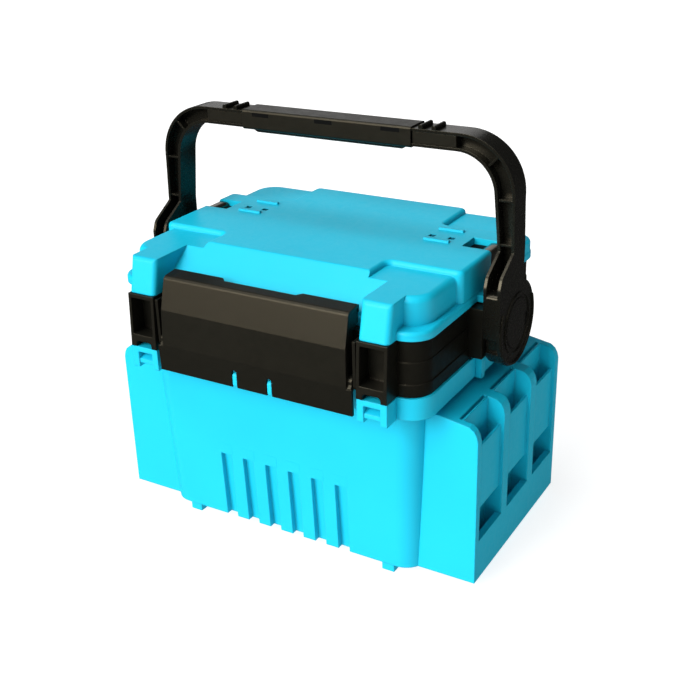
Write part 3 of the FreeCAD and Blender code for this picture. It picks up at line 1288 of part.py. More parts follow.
def make_handle():
    body = new_body("Handle")
    front = "(pivot_line - arm_half_depth)"
    back = "(pivot_line + arm_half_depth)"
    outline = new_sketch(body, "BailOutline", "XZ_Plane", "-" + back)
    bail_outline(outline, "0", "pivot_level")
    pad(body, "BailBlock", outline, "2 * arm_half_depth")
    # channels on both faces leave a web and two flanges
    depth = "(arm_half_depth - handle_web / 2)"
    channels = [("FrontChannel", "pivot_line - handle_web / 2"), ("BackChannel", back)]
    for name, start in channels:
        lane = new_sketch(body, name + "Outline", "XZ_Plane", "-(%s)" % start)
        bail_outline(lane, "handle_flange", "channel_foot")
        pocket(body, name, lane, depth)
    # arms widen forward below the kink and run into the hub
    flare = new_sketch(body, "FlareProfile", "YZ_Plane", "arm_inner_side")
    smooth_polygon(flare, [
        (front, "kink_level"),
        ("flare_front + 4", "flare_level + flare_shoulder"),
        ("flare_front", "flare_level"),
        ("pivot_line - disc_radius", "pivot_level"),
        ("pivot_line", "pivot_level"),
        (front, "pivot_level + 12"),
    ], {1: "8", 2: "8"})
    flares = pad(body, "Flare", flare, "arm_outer_side - arm_inner_side")
    # the channel ends above a round lip
    lane = new_sketch(body, "FlareChannel", "YZ_Plane", "arm_inner_side + handle_flange")
    smooth_polygon(lane, [
        ("pivot_line - handle_web / 2", "channel_foot"),
        ("pivot_line - handle_web / 2", "kink_level"),
        ("flare_front - 6", "kink_level"),
        ("flare_front - 6", "channel_foot - 2 * lip_radius"),
        ("flare_front", "channel_foot - 2 * lip_radius"),
        ("flare_front", "channel_foot"),
    ], {5: "lip_radius"})
    lanes = pocket(body, "FlareChannelCut", lane, "arm_outer_side - arm_inner_side - 2 * handle_flange")
    mirror_features(body, [flares, lanes], "Flares")
    drum = new_sketch(body, "DrumOutline", "YZ_Plane", "boss_reach + hub_gap")
    circle(drum, "pivot_line", "pivot_level", "drum_radius")
    drums = pad(body, "Drum", drum, "drum_side - boss_reach - hub_gap")
    disc = new_sketch(body, "DiscOutline", "YZ_Plane", "drum_side")
    circle(disc, "pivot_line", "pivot_level", "disc_radius")
    discs = pad(body, "Disc", disc, "arm_outer_side - drum_side")
    notch = new_sketch(body, "HubNotchOutline", "XZ_Plane", "-(pivot_line - disc_radius + hub_notch_depth)")
    rectangle(notch, "boss_reach", "arm_outer_side - handle_flange", "hub_notch_low", "hub_notch_high")
    notches = pocket(body, "HubNotch", notch, "hub_notch_depth + 1")
    recess = new_sketch(body, "CapRecess", "YZ_Plane", "arm_outer_side - cap_seat")
    circle(recess, "pivot_line", "pivot_level", "cap_radius + 2 * part_gap")
    recesses = pocket(body, "CapRecessCut", recess, "cap_seat")
    bore = new_sketch(body, "HubBore", "YZ_Plane", "boss_reach + hub_gap")
    circle(bore, "pivot_line", "pivot_level", "bolt_radius + running_clearance")
    bores = pocket(body, "HubBoreCut", bore, "arm_outer_side - cap_seat - boss_reach - hub_gap")
    mirror_features(body, [drums, discs, notches, recesses, bores], "Hubs")
    make_ribs(body)
    return subpart(body, "handle_bail")


def make_ribs(body):
    """Thin cross ribs in the front channel."""
    front = "(pivot_line - handle_web / 2)"
    reach = "(arm_half_depth - handle_web / 2 - 1)"
    ribs = []
    for word in ("low", "high"):
        sketch = new_sketch(body, "Rib_" + word, "XZ_Plane", "-(%s + 0.5)" % front)
        rectangle(sketch, "arm_inner_side - 2 + handle_flange / 2", "bend_outer_side - handle_flange / 2",
                  word + "_rib_level", word + "_rib_level + handle_rib")
        ribs.append(pad(body, "RibPad_" + word, sketch, reach + " + 0.5"))
    sketch = new_sketch(body, "Rib_bar", "XZ_Plane", "-(%s + 0.5)" % front)
    rectangle(sketch, "bar_rib_offset", "bar_rib_offset + handle_rib",
              "bar_bottom + handle_flange / 2", "bar_top - handle_flange / 2")
    ribs.append(pad(body, "RibPad_bar", sketch, reach + " + 0.5"))
    # rib across the bend, along the line from its centre
    centre = "(bend_outer_side - bend_round)"
    level = "(bar_top - bend_round)"
    near_end = "(0.7071 * (bend_round - bar_top + bar_bottom + handle_flange / 2))"
    far_end = "(0.7071 * (bend_round - handle_flange / 2))"
    half = "(0.7071 * handle_rib / 2)"
    sketch = new_sketch(body, "Rib_bend", "XZ_Plane", "-(%s + 0.5)" % front)
    polygon(sketch, [
        ("%s + %s - %s" % (centre, near_end, half), "%s + %s + %s" % (level, near_end, half)),
        ("%s + %s + %s" % (centre, near_end, half), "%s + %s - %s" % (level, near_end, half)),
        ("%s + %s + %s" % (centre, far_end, half), "%s + %s - %s" % (level, far_end, half)),
        ("%s + %s - %s" % (centre, far_end, half), "%s + %s + %s" % (level, far_end, half)),
    ])
    ribs.append(pad(body, "RibPad_bend", sketch, reach + " + 0.5"))
    mirror_features(body, ribs, "Ribs")


def make_grip():
    """Sleeve round the middle of the bar."""
    body = new_body("Grip")
    foot = "(bar_bottom - grip_slack - grip_skin)"
    section = new_sketch(body, "GripSection", "YZ_Plane", "-grip_half")
    rounded(section, "pivot_line - arm_half_depth - grip_slack - grip_skin",
            "pivot_line + arm_half_depth + grip_slack + grip_skin",
            foot, "bar_top + grip_slack + grip_skin", "grip_round")
    pad(body, "GripBlock", section, "2 * grip_half")
    rest = new_sketch(body, "FingerPadOutline", "XZ_Plane", "-(pivot_line + grip_pad_half)")
    polygon(rest, [
        ("-(grip_foot_half + 5)", foot + " + grip_skin / 2"),
        ("-(grip_foot_half + 5)", foot),
        ("-grip_foot_half", foot + " - grip_drop"),
        ("grip_foot_half", foot + " - grip_drop"),
        ("grip_foot_half + 5", foot),
        ("grip_foot_half + 5", foot + " + grip_skin / 2"),
    ])
    pad(body, "FingerPad", rest, "2 * grip_pad_half")
    base = num(foot + " - grip_drop")
    fillet(body, "FingerPadRound", lambda e: flat_at(e, base) and e.BoundBox.XLength > num("grip_foot_half"), "grip_round")
    tunnel = new_sketch(body, "GripTunnel", "YZ_Plane", "-grip_half")
    rectangle(tunnel, "pivot_line - arm_half_depth - grip_slack", "pivot_line + arm_half_depth + grip_slack",
              "bar_bottom - grip_slack", "bar_top + grip_slack")
    pocket(body, "GripTunnelCut", tunnel, "2 * grip_half")
    slots = []
    for i, place in enumerate(("-grip_slot_offset", "0", "grip_slot_offset")):
        slot = new_sketch(body, "GripSlot%d" % i, "XZ_Plane", "-(pivot_line - arm_half_depth)")
        rectangle(slot, "%s - grip_slot_length / 2" % place, "%s + grip_slot_length / 2" % place,
                  "grip_slot_level - grip_slot_height / 2", "grip_slot_level + grip_slot_height / 2")
        slots.append(pocket(body, "GripSlotCut%d" % i, slot, "grip_skin + 1"))
    subpart(body, "grip_cover")
    make_ridges()


def make_ridges():
    """Round cross ridges on the bar beside the grip."""
    items = []
    for word in ("near", "far"):
        body = new_body("Lace_" + word)
        middle = "lace_" + word
        sketch = new_sketch(body, "LaceOutline_" + word, "XZ_Plane",
                            "-(pivot_line - arm_half_depth + lace_length)")
        smooth_polygon(sketch, [
            (middle + " - lace_radius", "bar_top"),
            (middle + " + lace_radius", "bar_top"),
            (middle + " + lace_radius", "bar_top + lace_rise"),
            (middle + " - lace_radius", "bar_top + lace_rise"),
        ], {2: "lace_radius - 0.1", 3: "lace_radius - 0.1"})
        pad(body, "LaceBar_" + word, sketch, "lace_length")
        items += [body, mirrored(body, "LaceTwin_" + word)]
    subpart(group("LaceGroup", items), "bar_ridges")


def make_hub_caps():
    cap = new_body("Cap")
    ring = new_sketch(cap, "CapOutline", "YZ_Plane", "arm_outer_side - cap_seat")
    circle(ring, "pivot_line", "pivot_level", "cap_radius")
    pad(cap, "CapDisc", ring, "cap_thickness")
    pair(cap, "hub_caps")


make_tub()
make_feet()
make_rack()
make_brackets()
make_keepers()
make_side_lugs()
make_hinges()
make_tier_frame()
make_tray()
make_dividers()
make_sockets()
make_pivot_plates()
make_bosses()
make_lid()
make_catches()
make_latch()
make_handle()
make_grip()
make_hub_caps()

doc.recompute()
for item in doc.Objects:
    if "Invalid" in item.State or "Error" in item.State:
        raise RuntimeError("%s is %s" % (item.Label, item.State))
os.makedirs("parts", exist_ok=True)
for item in SUBPARTS:
    shape = item.Shape
    if shape.isNull() or not shape.isValid() or not shape.Solids:
        raise RuntimeError("bad shape " + item.Label)
    shape.exportStep("parts/%s.step" % item.Label)
    print(item.Label, len(shape.Solids), round(shape.Volume / 1000.0, 2))
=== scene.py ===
import json
import math

import bmesh
import bpy
from mathutils import Matrix, Vector


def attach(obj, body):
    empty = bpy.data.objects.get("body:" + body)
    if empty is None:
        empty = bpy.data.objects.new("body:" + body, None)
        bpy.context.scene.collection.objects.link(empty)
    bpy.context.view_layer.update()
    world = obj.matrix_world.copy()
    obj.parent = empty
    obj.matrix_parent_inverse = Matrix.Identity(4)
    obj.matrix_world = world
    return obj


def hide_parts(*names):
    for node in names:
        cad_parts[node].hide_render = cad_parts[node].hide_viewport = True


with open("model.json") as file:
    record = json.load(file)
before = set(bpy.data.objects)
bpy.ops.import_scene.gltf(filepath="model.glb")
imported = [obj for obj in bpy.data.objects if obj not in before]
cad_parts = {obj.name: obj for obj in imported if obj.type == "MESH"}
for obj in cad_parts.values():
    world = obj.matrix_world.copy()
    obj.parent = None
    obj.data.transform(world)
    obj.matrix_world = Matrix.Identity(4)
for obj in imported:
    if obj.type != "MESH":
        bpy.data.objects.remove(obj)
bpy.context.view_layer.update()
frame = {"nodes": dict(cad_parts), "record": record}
scene = bpy.context.scene


def link(name, data):
    """A new object with this data, in the scene."""
    obj = bpy.data.objects.new(name, data)
    scene.collection.objects.link(obj)
    return obj


# ---------------------------------------------------------------- camera, in metres

CAMERA_SPOT = Vector((0.5050, -0.8272, 0.6045))
CAMERA_TARGET = Vector((-0.0033, 0.0206, 0.1637))
CAMERA_ROLL = math.radians(-1.64)
CAMERA_REACH = 50
SENSOR_WIDTH = 36
FRAME_PIXELS = 680
FOCAL_PIXELS = 1095.5


def make_camera():
    """Camera at the photograph's place: 30.9 degrees right of the front, 24 degrees up."""
    ahead = (CAMERA_TARGET - CAMERA_SPOT).normalized()
    right = ahead.cross(Vector((0, 0, 1))).normalized()
    up = right.cross(ahead)
    cam_x = right * math.cos(CAMERA_ROLL) + up * math.sin(CAMERA_ROLL)
    cam_y = up * math.cos(CAMERA_ROLL) - right * math.sin(CAMERA_ROLL)
    data = bpy.data.cameras.new("camera")
    data.sensor_width = SENSOR_WIDTH
    data.lens = SENSOR_WIDTH * FOCAL_PIXELS / FRAME_PIXELS
    data.clip_end = CAMERA_REACH
    cam = link("camera", data)
    turn = Matrix((cam_x, cam_y, -ahead)).transposed().to_4x4()
    cam.matrix_world = Matrix.Translation(CAMERA_SPOT) @ turn
    scene.camera = cam


# ---------------------------------------------------------------- materials

# noise scales count features per metre; ends are the noise levels that a range runs between
CLOUD_SCALE, CLOUD_ENDS = 9.0, (0.3, 0.7)
RUB_SCALE, RUB_ENDS = 130.0, (0.3, 0.75)
PATCH_SCALE = 42.0
GLOSS_DROP, GLOSS_RISE = 0.035, 0.05
GRAIN_DEPTH = 0.0002
BEVEL_SAMPLES = 4
# dot product of rounded and true normal where the painted edge highlight starts, and where it is
# full
HIGHLIGHT_START, HIGHLIGHT_FULL = 0.995, 0.86
WHITE = (1.0, 1.0, 1.0)
WARM_SHEEN = (1.0, 0.89, 0.64)


def node(tree, kind, **values):
    """A new node with its inputs set by name, where two underscores stand for a space."""
    made = tree.nodes.new(kind)
    for key, value in values.items():
        made.inputs[key.replace("__", " ")].default_value = value
    return made


def new_material(name):
    """A new material, its node tree and its shader."""
    mat = bpy.data.materials.new(name)
    mat.use_nodes = True
    return mat, mat.node_tree, mat.node_tree.nodes["Principled BSDF"]


def object_place(tree):
    """Coordinates that stay with the object, in metres."""
    return tree.nodes.new("ShaderNodeTexCoord").outputs["Object"]


def noise(tree, place, **values):
    """Level of a noise at a place."""
    made = node(tree, "ShaderNodeTexNoise", **values)
    tree.links.new(place, made.inputs["Vector"])
    return made.outputs["Fac"]


def two_tones(tree, level, low, high, ends=(0.0, 1.0)):
    """Colour that runs from low to high between two levels."""
    ramp = tree.nodes.new("ShaderNodeValToRGB")
    for element, end, colour in zip(ramp.color_ramp.elements, ends, (low, high)):
        element.position = end
        element.color = (*colour, 1)
    tree.links.new(level, ramp.inputs["Fac"])
    return ramp.outputs["Color"]


def edge_highlight_colour(tree, place, soft, colour, pale, highlight):
    """Paler colour where a rounded normal departs from the true one, in patches: a painted edge
    highlight.
    """
    shape = tree.nodes.new("ShaderNodeNewGeometry")
    dot = tree.nodes.new("ShaderNodeVectorMath")
    dot.operation = "DOT_PRODUCT"
    tree.links.new(soft, dot.inputs[0])
    tree.links.new(shape.outputs["Normal"], dot.inputs[1])
    edge = node(tree, "ShaderNodeMapRange", From__Min=HIGHLIGHT_START, From__Max=HIGHLIGHT_FULL)
    tree.links.new(dot.outputs["Value"], edge.inputs["Value"])
    lit_edge = tree.nodes.new("ShaderNodeMath")
    lit_edge.operation = "MULTIPLY"
    tree.links.new(edge.outputs["Result"], lit_edge.inputs[0])
    patch = noise(tree, place, Scale=PATCH_SCALE, Detail=4.0, Roughness=0.6)
    tree.links.new(patch, lit_edge.inputs[1])
    amount = tree.nodes.new("ShaderNodeMath")
    amount.operation = "MULTIPLY"
    amount.inputs[1].default_value = highlight
    tree.links.new(lit_edge.outputs["Value"], amount.inputs[0])
    mix = tree.nodes.new("ShaderNodeMix")
    mix.data_type = "RGBA"
    mix.inputs["B"].default_value = (*pale, 1)
    tree.links.new(amount.outputs["Value"], mix.inputs["Factor"])
    tree.links.new(colour, mix.inputs["A"])
    return mix.outputs["Result"]


def plastic(name, tones, roughness, grain, specular, edge=None, uneven=1.0, tint=WHITE):
    """Moulded plastic: soft tone changes, fine grain, a few rubs and, with an edge, rounded edges
    with a painted highlight.

    tones are a colour and a deeper one, and grain is the bump's strength and scale. edge is the
    radius that edges seem to have, in metres, the pale colour of their painted highlight, and how
    much of it.
    """
    colour, deep = tones
    strength, scale = grain
    mat, tree, shader = new_material(name)
    shader.inputs["Specular IOR Level"].default_value = specular
    shader.inputs["Specular Tint"].default_value = (*tint, 1)
    place = object_place(tree)
    cloud = noise(tree, place, Scale=CLOUD_SCALE, Detail=3.0, Roughness=0.5)
    shown = two_tones(tree, cloud, deep, colour, CLOUD_ENDS)
    bump = node(tree, "ShaderNodeBump", Strength=strength, Distance=GRAIN_DEPTH)
    fine = noise(tree, place, Scale=scale, Detail=2.0, Roughness=0.6)
    tree.links.new(fine, bump.inputs["Height"])
    tree.links.new(bump.outputs["Normal"], shader.inputs["Normal"])
    if edge:
        radius, pale, highlight = edge
        soft = node(tree, "ShaderNodeBevel", Radius=radius)
        soft.samples = BEVEL_SAMPLES
        tree.links.new(soft.outputs["Normal"], bump.inputs["Normal"])
        # edges are paled as a painted highlight
        shown = edge_highlight_colour(tree, place, soft.outputs["Normal"], shown, pale, highlight)
    tree.links.new(shown, shader.inputs["Base Color"])
    # gloss varies a little, and fine rubs cross it
    rubs = noise(tree, place, Scale=RUB_SCALE, Detail=2.0, Roughness=0.5, Distortion=1.2)
    gloss = node(tree, "ShaderNodeMapRange", From__Min=RUB_ENDS[0], From__Max=RUB_ENDS[1],
                 To__Min=roughness - GLOSS_DROP * uneven, To__Max=roughness + GLOSS_RISE * uneven)
    tree.links.new(rubs, gloss.inputs["Value"])
    tree.links.new(gloss.outputs["Result"], shader.inputs["Roughness"])
    return mat


def steel(name):
    """Drawn steel, with fine lines along the pin."""
    mat, tree, shader = new_material(name)
    shader.inputs["Metallic"].default_value = 1.0
    draw = node(tree, "ShaderNodeMapping", Scale=(60.0, 900.0, 900.0))
    tree.links.new(object_place(tree), draw.inputs["Vector"])
    lines = noise(tree, draw.outputs["Vector"], Scale=1.0, Detail=2.0)
    tone = two_tones(tree, lines, (0.42, 0.43, 0.44), (0.66, 0.66, 0.67))
    tree.links.new(tone, shader.inputs["Base Color"])
    gloss = node(tree, "ShaderNodeMapRange", To__Min=0.25, To__Max=0.42)
    tree.links.new(lines, gloss.inputs["Value"])
    tree.links.new(gloss.outputs["Result"], shader.inputs["Roughness"])
    return mat


CYAN_TONES = ((0.0065, 0.458, 0.64), (0.0055, 0.432, 0.61))
# a darker copy of the cyan, for painted shade inside the lid's square holes
CYAN_SHADED_TONES = ((0.002, 0.10, 0.16), (0.002, 0.09, 0.14))
CYAN_GRAIN = (0.12, 2600.0)
# pale edge colour of the cyan: a painted edge highlight
CYAN_EDGE_HIGHLIGHT = (0.05, 0.62, 0.80)
BLACK_TONES = ((0.0056, 0.0056, 0.0044), (0.0046, 0.0046, 0.0036))
# a darker copy of the black, for painted shade in the slots and the catches' notches
BLACK_SHADED_TONES = ((0.0012, 0.0012, 0.0010), (0.0010, 0.0010, 0.0008))
# pale edge colour of the black: a painted edge highlight
BLACK_EDGE_HIGHLIGHT = (0.026, 0.025, 0.020)

CYAN = plastic("cyan_plastic", CYAN_TONES, 0.40, CYAN_GRAIN, 0.17, (0.0017, CYAN_EDGE_HIGHLIGHT, 0.25))
CYAN_FLUSH = plastic("cyan_flush", CYAN_TONES, 0.40, CYAN_GRAIN, 0.17)
# cyan darkened as painted shade, for the linings of the lid's square holes
CYAN_SHADED = plastic("cyan_painted_shade", CYAN_SHADED_TONES, 0.5, CYAN_GRAIN, 0.1)
BLACK = plastic("black_plastic", BLACK_TONES, 0.38, (0.22, 2200.0), 0.28,
                (0.0011, BLACK_EDGE_HIGHLIGHT, 0.5), tint=WARM_SHEEN)
BLACK_GLOSS = plastic("black_gloss", BLACK_TONES, 0.27, (0.03, 1400.0), 0.30,
                      (0.0006, BLACK_EDGE_HIGHLIGHT, 0.9), 0.3, WARM_SHEEN)
BLACK_SHINE = plastic("black_shine", BLACK_TONES, 0.18, (0.02, 1400.0), 1.00,
                      (0.0006, BLACK_EDGE_HIGHLIGHT, 0.5), 0.3, WARM_SHEEN)
# black darkened as painted shade, for slot floors and catch tongues
BLACK_SHADED = plastic("black_painted_shade", BLACK_SHADED_TONES, 0.6, (0.2, 2200.0), 0.08)
STEEL = steel("steel_pin")
FINISH = {"cyan_plastic": CYAN, "black_plastic": BLACK, "steel_pin": STEEL}
GLOSSY = ("handle_bail", "hub_caps", "bar_ridges")


def dress_nodes():
    """Gives each CAD node its material."""
    slots = {row["node"]: row["material_slot"] for row in frame["record"]["subparts"]}
    for name, obj in frame["nodes"].items():
        obj.data.materials.clear()
        obj.data.materials.append(BLACK_GLOSS if name in GLOSSY else FINISH[slots[name]])


# ---------------------------------------------------------------- pieces, in millimetres

MM = 0.001
ROUND_STEPS = 3
ROUND_FROM = math.radians(35)
SHARP_FROM = math.radians(30)


def piece(name, solids, body, finish, round_by=0.0):
    """One named piece from closed shells, each a list of rings of (x, y, z) in millimetres."""
    mesh = bmesh.new()
    for rings in solids:
        rows = [[mesh.verts.new([c * MM for c in p]) for p in ring] for ring in rings]
        count = len(rows[0])
        for a, b in zip(rows, rows[1:]):
            for i in range(count):
                j = (i + 1) % count
                mesh.faces.new((a[i], a[j], b[j], b[i]))
        mesh.faces.new(rows[0][::-1])
        mesh.faces.new(rows[-1])
    bmesh.ops.recalc_face_normals(mesh, faces=mesh.faces)
    data = bpy.data.meshes.new(name)
    mesh.to_mesh(data)
    mesh.free()
    obj = link(name, data)
    obj.data.materials.append(finish)
    if round_by:
        mod = obj.modifiers.new("round", "BEVEL")
        mod.width = round_by * MM
        mod.segments = ROUND_STEPS
        mod.limit_method = "ANGLE"
        mod.angle_limit = ROUND_FROM
        mod.harden_normals = True
    for face in data.polygons:
        face.use_smooth = True
    data.set_sharp_from_angle(angle=SHARP_FROM)
    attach(obj, body)
    return obj


def slab(x0, x1, y0, y1, z0, z1):
    """Box as a closed shell."""
    return [[(x0, y0, z), (x1, y0, z), (x1, y1, z), (x0, y1, z)] for z in (z0, z1)]


def both_sides(solid):
    """The solid and its mirror image on the left."""
    return [solid, [[(-x, y, z) for x, y, z in ring][::-1] for ring in solid]]


# the tub's leaning front wall: its depth at one level, and its lean
WALL_DEPTH, WALL_LEVEL, WALL_LEAN = -94.0, 8.0, 8.0 / 167.0
FLUTE_COUNT, FLUTE_START, FLUTE_PITCH, FLUTE_WIDTH = 6, -69.5, 25.4, 12.0
# the level where the photograph ends the flutes, and where the solid does
FLUTE_END, FLUTE_CUT = 79.0, 89.0
COVER_LAP = 1.4
# in front of the wall and behind it
PLUG_REACH, COVER_REACH = (-0.05, 4.6), (-0.10, 0.3)


def leaning_slab(x0, x1, reach, z0, z1):
    """Slab that leans with the tub's front wall."""
    rings = []
    for z in (z0, z1):
        y0, y1 = (WALL_DEPTH - WALL_LEAN * (z - WALL_LEVEL) + depth for depth in reach)
        rings.append([(x0, y0, z), (x1, y0, z), (x1, y1, z), (x0, y1, z)])
    return rings


def make_flute_heads():
    """Closes the upper end of each flute with a plug and a thin cover over it."""
    solids = []
    for i in range(FLUTE_COUNT):
        x0 = FLUTE_START + FLUTE_PITCH * i
        x1 = x0 + FLUTE_WIDTH
        solids.append(leaning_slab(x0, x1, PLUG_REACH, FLUTE_END, FLUTE_CUT))
        solids.append(leaning_slab(x0 - COVER_LAP, x1 + COVER_LAP, COVER_REACH,
                                   FLUTE_END, FLUTE_CUT + COVER_LAP))
    piece("flute_heads", solids, "tub", CYAN_FLUSH)


# the lid's rounded front corner: its upright axis, radius, foot, and the rounding at its top
CORNER_X, CORNER_Y, CORNER_RADIUS, CORNER_FOOT = 128.5, -83.5, 22.0, 254.05
SHOULDER_LEVEL, SHOULDER_ROUND = 272.5, 6.0
SKIN_OUT, SKIN_IN = 0.06, -0.5


def make_corner_skins():
    """Thin skins that carry the lid's front corners over the thinnest spot of the wall."""
    inner = CORNER_RADIUS - SHOULDER_ROUND
    rings = []
    for step in range(14):
        angle = math.radians(6 + 3 * step)
        ring = []
        for grow, order in ((SKIN_OUT, 1), (SKIN_IN, -1)):
            edge = [(CORNER_RADIUS + grow, CORNER_FOOT)]
            for k in range(11):
                lift = math.radians(8 * k)
                edge.append((inner + (SHOULDER_ROUND + grow) * math.cos(lift),
                             SHOULDER_LEVEL + (SHOULDER_ROUND + grow) * math.sin(lift)))
            ring += [(CORNER_X + r * math.sin(angle), CORNER_Y - r * math.cos(angle), z)
                     for r, z in edge[::order]]
        rings.append(ring)
    piece("lid_corner_skins", both_sides(rings), "lid", CYAN_FLUSH)


# side catch: outline of (x, z) seen from the front, and its two ends; then its tongue's box
CATCH_OUTLINE = (
    (143.0, 267.0), (155.8, 267.0), (155.8, 278.6), (154.6, 280.3), (152.2, 281.0),
    (148.2, 281.0), (145.2, 280.4), (143.6, 279.2), (143.0, 277.4),
)
CATCH_ENDS = (16.9, 42.1)
TONGUE = (128.2, 143.05, 17.0, 42.0, 267.0, 277.2)


def make_catches():
    """Side catches with a crowned, glossy head, and tongues that fill the notches' bottom, in a
    darker black for painted shade.
    """
    solid = [[(x, y, z) for x, z in CATCH_OUTLINE] for y in CATCH_ENDS]
    obj = piece("catch_blocks", both_sides(solid), "lid", BLACK_SHINE, 0.7)
    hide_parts("lid_side_catches")
    tongues = both_sides(slab(*TONGUE))
    piece("catch_tongues", tongues, "lid", BLACK_SHADED, 0.5)


HUB_Y, HUB_Z, HUB_FACE = 9.7, 222.8, 184.4
# across the band and up from the face, as shares of its width and height
BAND_SECTION = ((-0.5, 0.0), (-0.36, 0.75), (-0.15, 1.0), (0.15, 1.0), (0.36, 0.75), (0.5, 0.0))
# top, radius, width, start and stop in degrees, and number of steps
RIM_BAND = (186.0, 37.0, 3.2, 150, 385, 72)
RING_BAND = (185.6, 27.3, 2.2, 0, 358, 90)
# key slot: the top of its frame, the frame's four sides as y and z ranges, and its floor's box
KEY_TOP = 185.0
KEY_SIDES = ((28.0, 33.6, 226.4, 227.6), (28.0, 33.6, 212.0, 213.2),
             (28.0, 29.1, 213.2, 226.4), (32.5, 33.6, 213.2, 226.4))
KEY_FLOOR = (HUB_FACE, 184.96, 29.05, 32.55, 213.15, 226.45)


def arc_band(top, radius, width, start, stop, steps):
    """Raised band on the hub's face between two angles, with a low rounded section."""
    rings = []
    for k in range(steps + 1):
        angle = math.radians(start + (stop - start) * k / steps)
        rings.append([(HUB_FACE + (top - HUB_FACE) * up,
                       HUB_Y + (radius + width * side) * math.cos(angle),
                       HUB_Z + (radius + width * side) * math.sin(angle))
                      for side, up in BAND_SECTION])
    return rings


def make_hub_trims():
    """Rim, ring and key slot on the outer faces of the handle's hubs; the slot's floor is a darker
    black for painted shade.
    """
    solids = both_sides(arc_band(*RIM_BAND)) + both_sides(arc_band(*RING_BAND))
    for sides in KEY_SIDES:
        solids += both_sides(slab(HUB_FACE, KEY_TOP, *sides))
    piece("hub_trims", solids, "handle", BLACK_GLOSS)
    floors = both_sides(slab(*KEY_FLOOR))
    piece("hub_slot_shade_floors", floors, "handle", BLACK_SHADED)


GRIP_SLOT_MIDDLES, GRIP_SLOT_HALF = (-67.1, 0.0, 67.1), 9.2
GRIP_SLOT_FLOOR = (-3.98, -2.8, 383.7, 387.5)
HOLE_MIDDLES, HOLE_Y = (91.5, 111.0), 31.3
HOLE_HALF, LINING_HALF = 2.98, 2.85
HOLE_FOOT, HOLE_TOP = 280.05, 282.8


def make_recess_floors():
    """Dark floors for the grip's slots and dark linings for the lid's square holes: painted shade
    in the recesses.
    """
    solids = [slab(x - GRIP_SLOT_HALF, x + GRIP_SLOT_HALF, *GRIP_SLOT_FLOOR)
              for x in GRIP_SLOT_MIDDLES]
    piece("grip_slot_shade_floors", solids, "handle", BLACK_SHADED, 0.25)
    far, near = HOLE_HALF, LINING_HALF
    solids = []
    for x in HOLE_MIDDLES:
        for x0, x1, y0, y1 in ((-far, far, near, far), (-far, far, -far, -near),
                               (-far, -near, -near, near), (near, far, -near, near)):
            solids += both_sides(slab(x + x0, x + x1, HOLE_Y + y0, HOLE_Y + y1,
                                      HOLE_FOOT, HOLE_TOP))
    piece("hole_shade_linings", solids, "lid", CYAN_SHADED)


BAR_END_X, BAR_END_Y, BAR_END_Z = (87.3, 128.6), (-1.7, 7.8), (375.2, 385.8)


def make_bar_ends():
    """Blocks that close the bar's front channel beside the grip, as far as the last rib."""
    (x0, x1), (z0, z1) = BAR_END_X, BAR_END_Z
    block = [[(x0, y, z0), (x1, y, z0), (x1, y, z1), (x0, y, z1)] for y in BAR_END_Y]
    piece("bar_end_fills", both_sides(block), "handle", BLACK, 0.4)


# ---------------------------------------------------------------- stage, in metres

FLOOR_SIZE, FLOOR_SPOT = 30, (0, 8.0, 0)
BACKDROP_RADIUS, BACKDROP_SIDES = 6.0, 96
BACKDROP_FOOT, BACKDROP_TOP = -0.01, 8.0
# grey, roughness, glow
FLOOR_LOOK = (0.35, 0.9, 0.80)
BACKDROP_LOOK = (0.0, 0.5, 1.15)
WORLD_POWER = 0.05
# name, azimuth from the front towards the right, elevation, spread, power, colour
SUNS = (
    ("dome", 30, 72, 80, 0.55, WHITE),
    ("top", -62, 68, 32, 1.25, WHITE),
    ("key", -17, 27, 38, 4.05, WHITE),
    ("fill", 48, 32, 60, 0.16, WHITE),
    ("card", -34, 14, 16, 0.42, (1.0, 0.82, 0.62)),
)
REAR_SPOT, REAR_TARGET = Vector((-1.45, 2.6, 1.22)), Vector((0, 0, 0.27))
REAR_SIZE, REAR_POWER = (2.0, 1.1), 5.5


def pale_surface(name, grey, roughness, glow):
    """Matt grey that also glows."""
    mat, _, shader = new_material(name)
    shader.inputs["Base Color"].default_value = (grey, grey, grey, 1)
    shader.inputs["Roughness"].default_value = roughness
    shader.inputs["Specular IOR Level"].default_value = 0.0
    shader.inputs["Emission Color"].default_value = (1, 1, 1, 1)
    shader.inputs["Emission Strength"].default_value = glow
    return mat


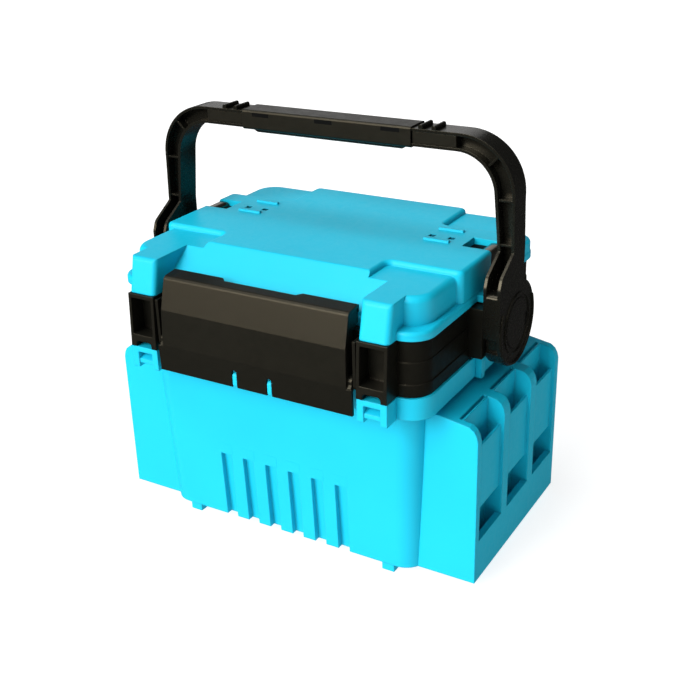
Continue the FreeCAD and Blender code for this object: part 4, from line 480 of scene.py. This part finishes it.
def make_stage():
    """Pale floor, and a dim even light from all around."""
    bpy.ops.mesh.primitive_plane_add(size=FLOOR_SIZE, location=FLOOR_SPOT)
    floor = bpy.context.object
    floor.name = "floor"
    floor.data.materials.append(pale_surface("floor", *FLOOR_LOOK))
    floor.visible_glossy = False
    world = bpy.data.worlds.new("world")
    scene.world = world
    world.use_nodes = True
    back = world.node_tree.nodes["Background"]
    back.inputs["Color"].default_value = (1, 1, 1, 1)
    back.inputs["Strength"].default_value = WORLD_POWER


def make_backdrop():
    """Pale round wall that only the camera sees, so that low views have no dark horizon."""
    mesh = bmesh.new()
    turns = [2 * math.pi * i / BACKDROP_SIDES for i in range(BACKDROP_SIDES)]
    rows = [[mesh.verts.new((BACKDROP_RADIUS * math.cos(turn), BACKDROP_RADIUS * math.sin(turn), z))
             for turn in turns] for z in (BACKDROP_FOOT, BACKDROP_TOP)]
    for i in range(BACKDROP_SIDES):
        j = (i + 1) % BACKDROP_SIDES
        mesh.faces.new((rows[0][i], rows[0][j], rows[1][j], rows[1][i]))
    data = bpy.data.meshes.new("backdrop")
    mesh.to_mesh(data)
    mesh.free()
    wall = link("backdrop", data)
    data.materials.append(pale_surface("backdrop", *BACKDROP_LOOK))
    wall.visible_diffuse = False
    wall.visible_glossy = False
    wall.visible_shadow = False


def make_lights():
    """Soft studio light, mostly from the front left, with a low warm card and a lamp behind."""
    for name, azimuth, elevation, spread, power, colour in SUNS:
        data = bpy.data.lights.new(name, "SUN")
        data.energy = power
        data.angle = math.radians(spread)
        data.color = colour
        turn, rise = math.radians(azimuth), math.radians(elevation)
        way = Vector((math.sin(turn) * math.cos(rise), -math.cos(turn) * math.cos(rise),
                      math.sin(rise)))
        link(name, data).rotation_euler = (-way).to_track_quat("-Z", "Y").to_euler()
    data = bpy.data.lights.new("rear", "AREA")
    data.shape = "RECTANGLE"
    data.size, data.size_y = REAR_SIZE
    data.energy = REAR_POWER
    lamp = link("rear", data)
    lamp.location = REAR_SPOT
    lamp.rotation_euler = (REAR_TARGET - REAR_SPOT).to_track_quat("-Z", "Y").to_euler()


scene.view_settings.view_transform = "Standard"
make_camera()
dress_nodes()
make_flute_heads()
make_corner_skins()
make_catches()
make_hub_trims()
make_recess_floors()
make_bar_ends()
make_stage()
make_backdrop()
make_lights()
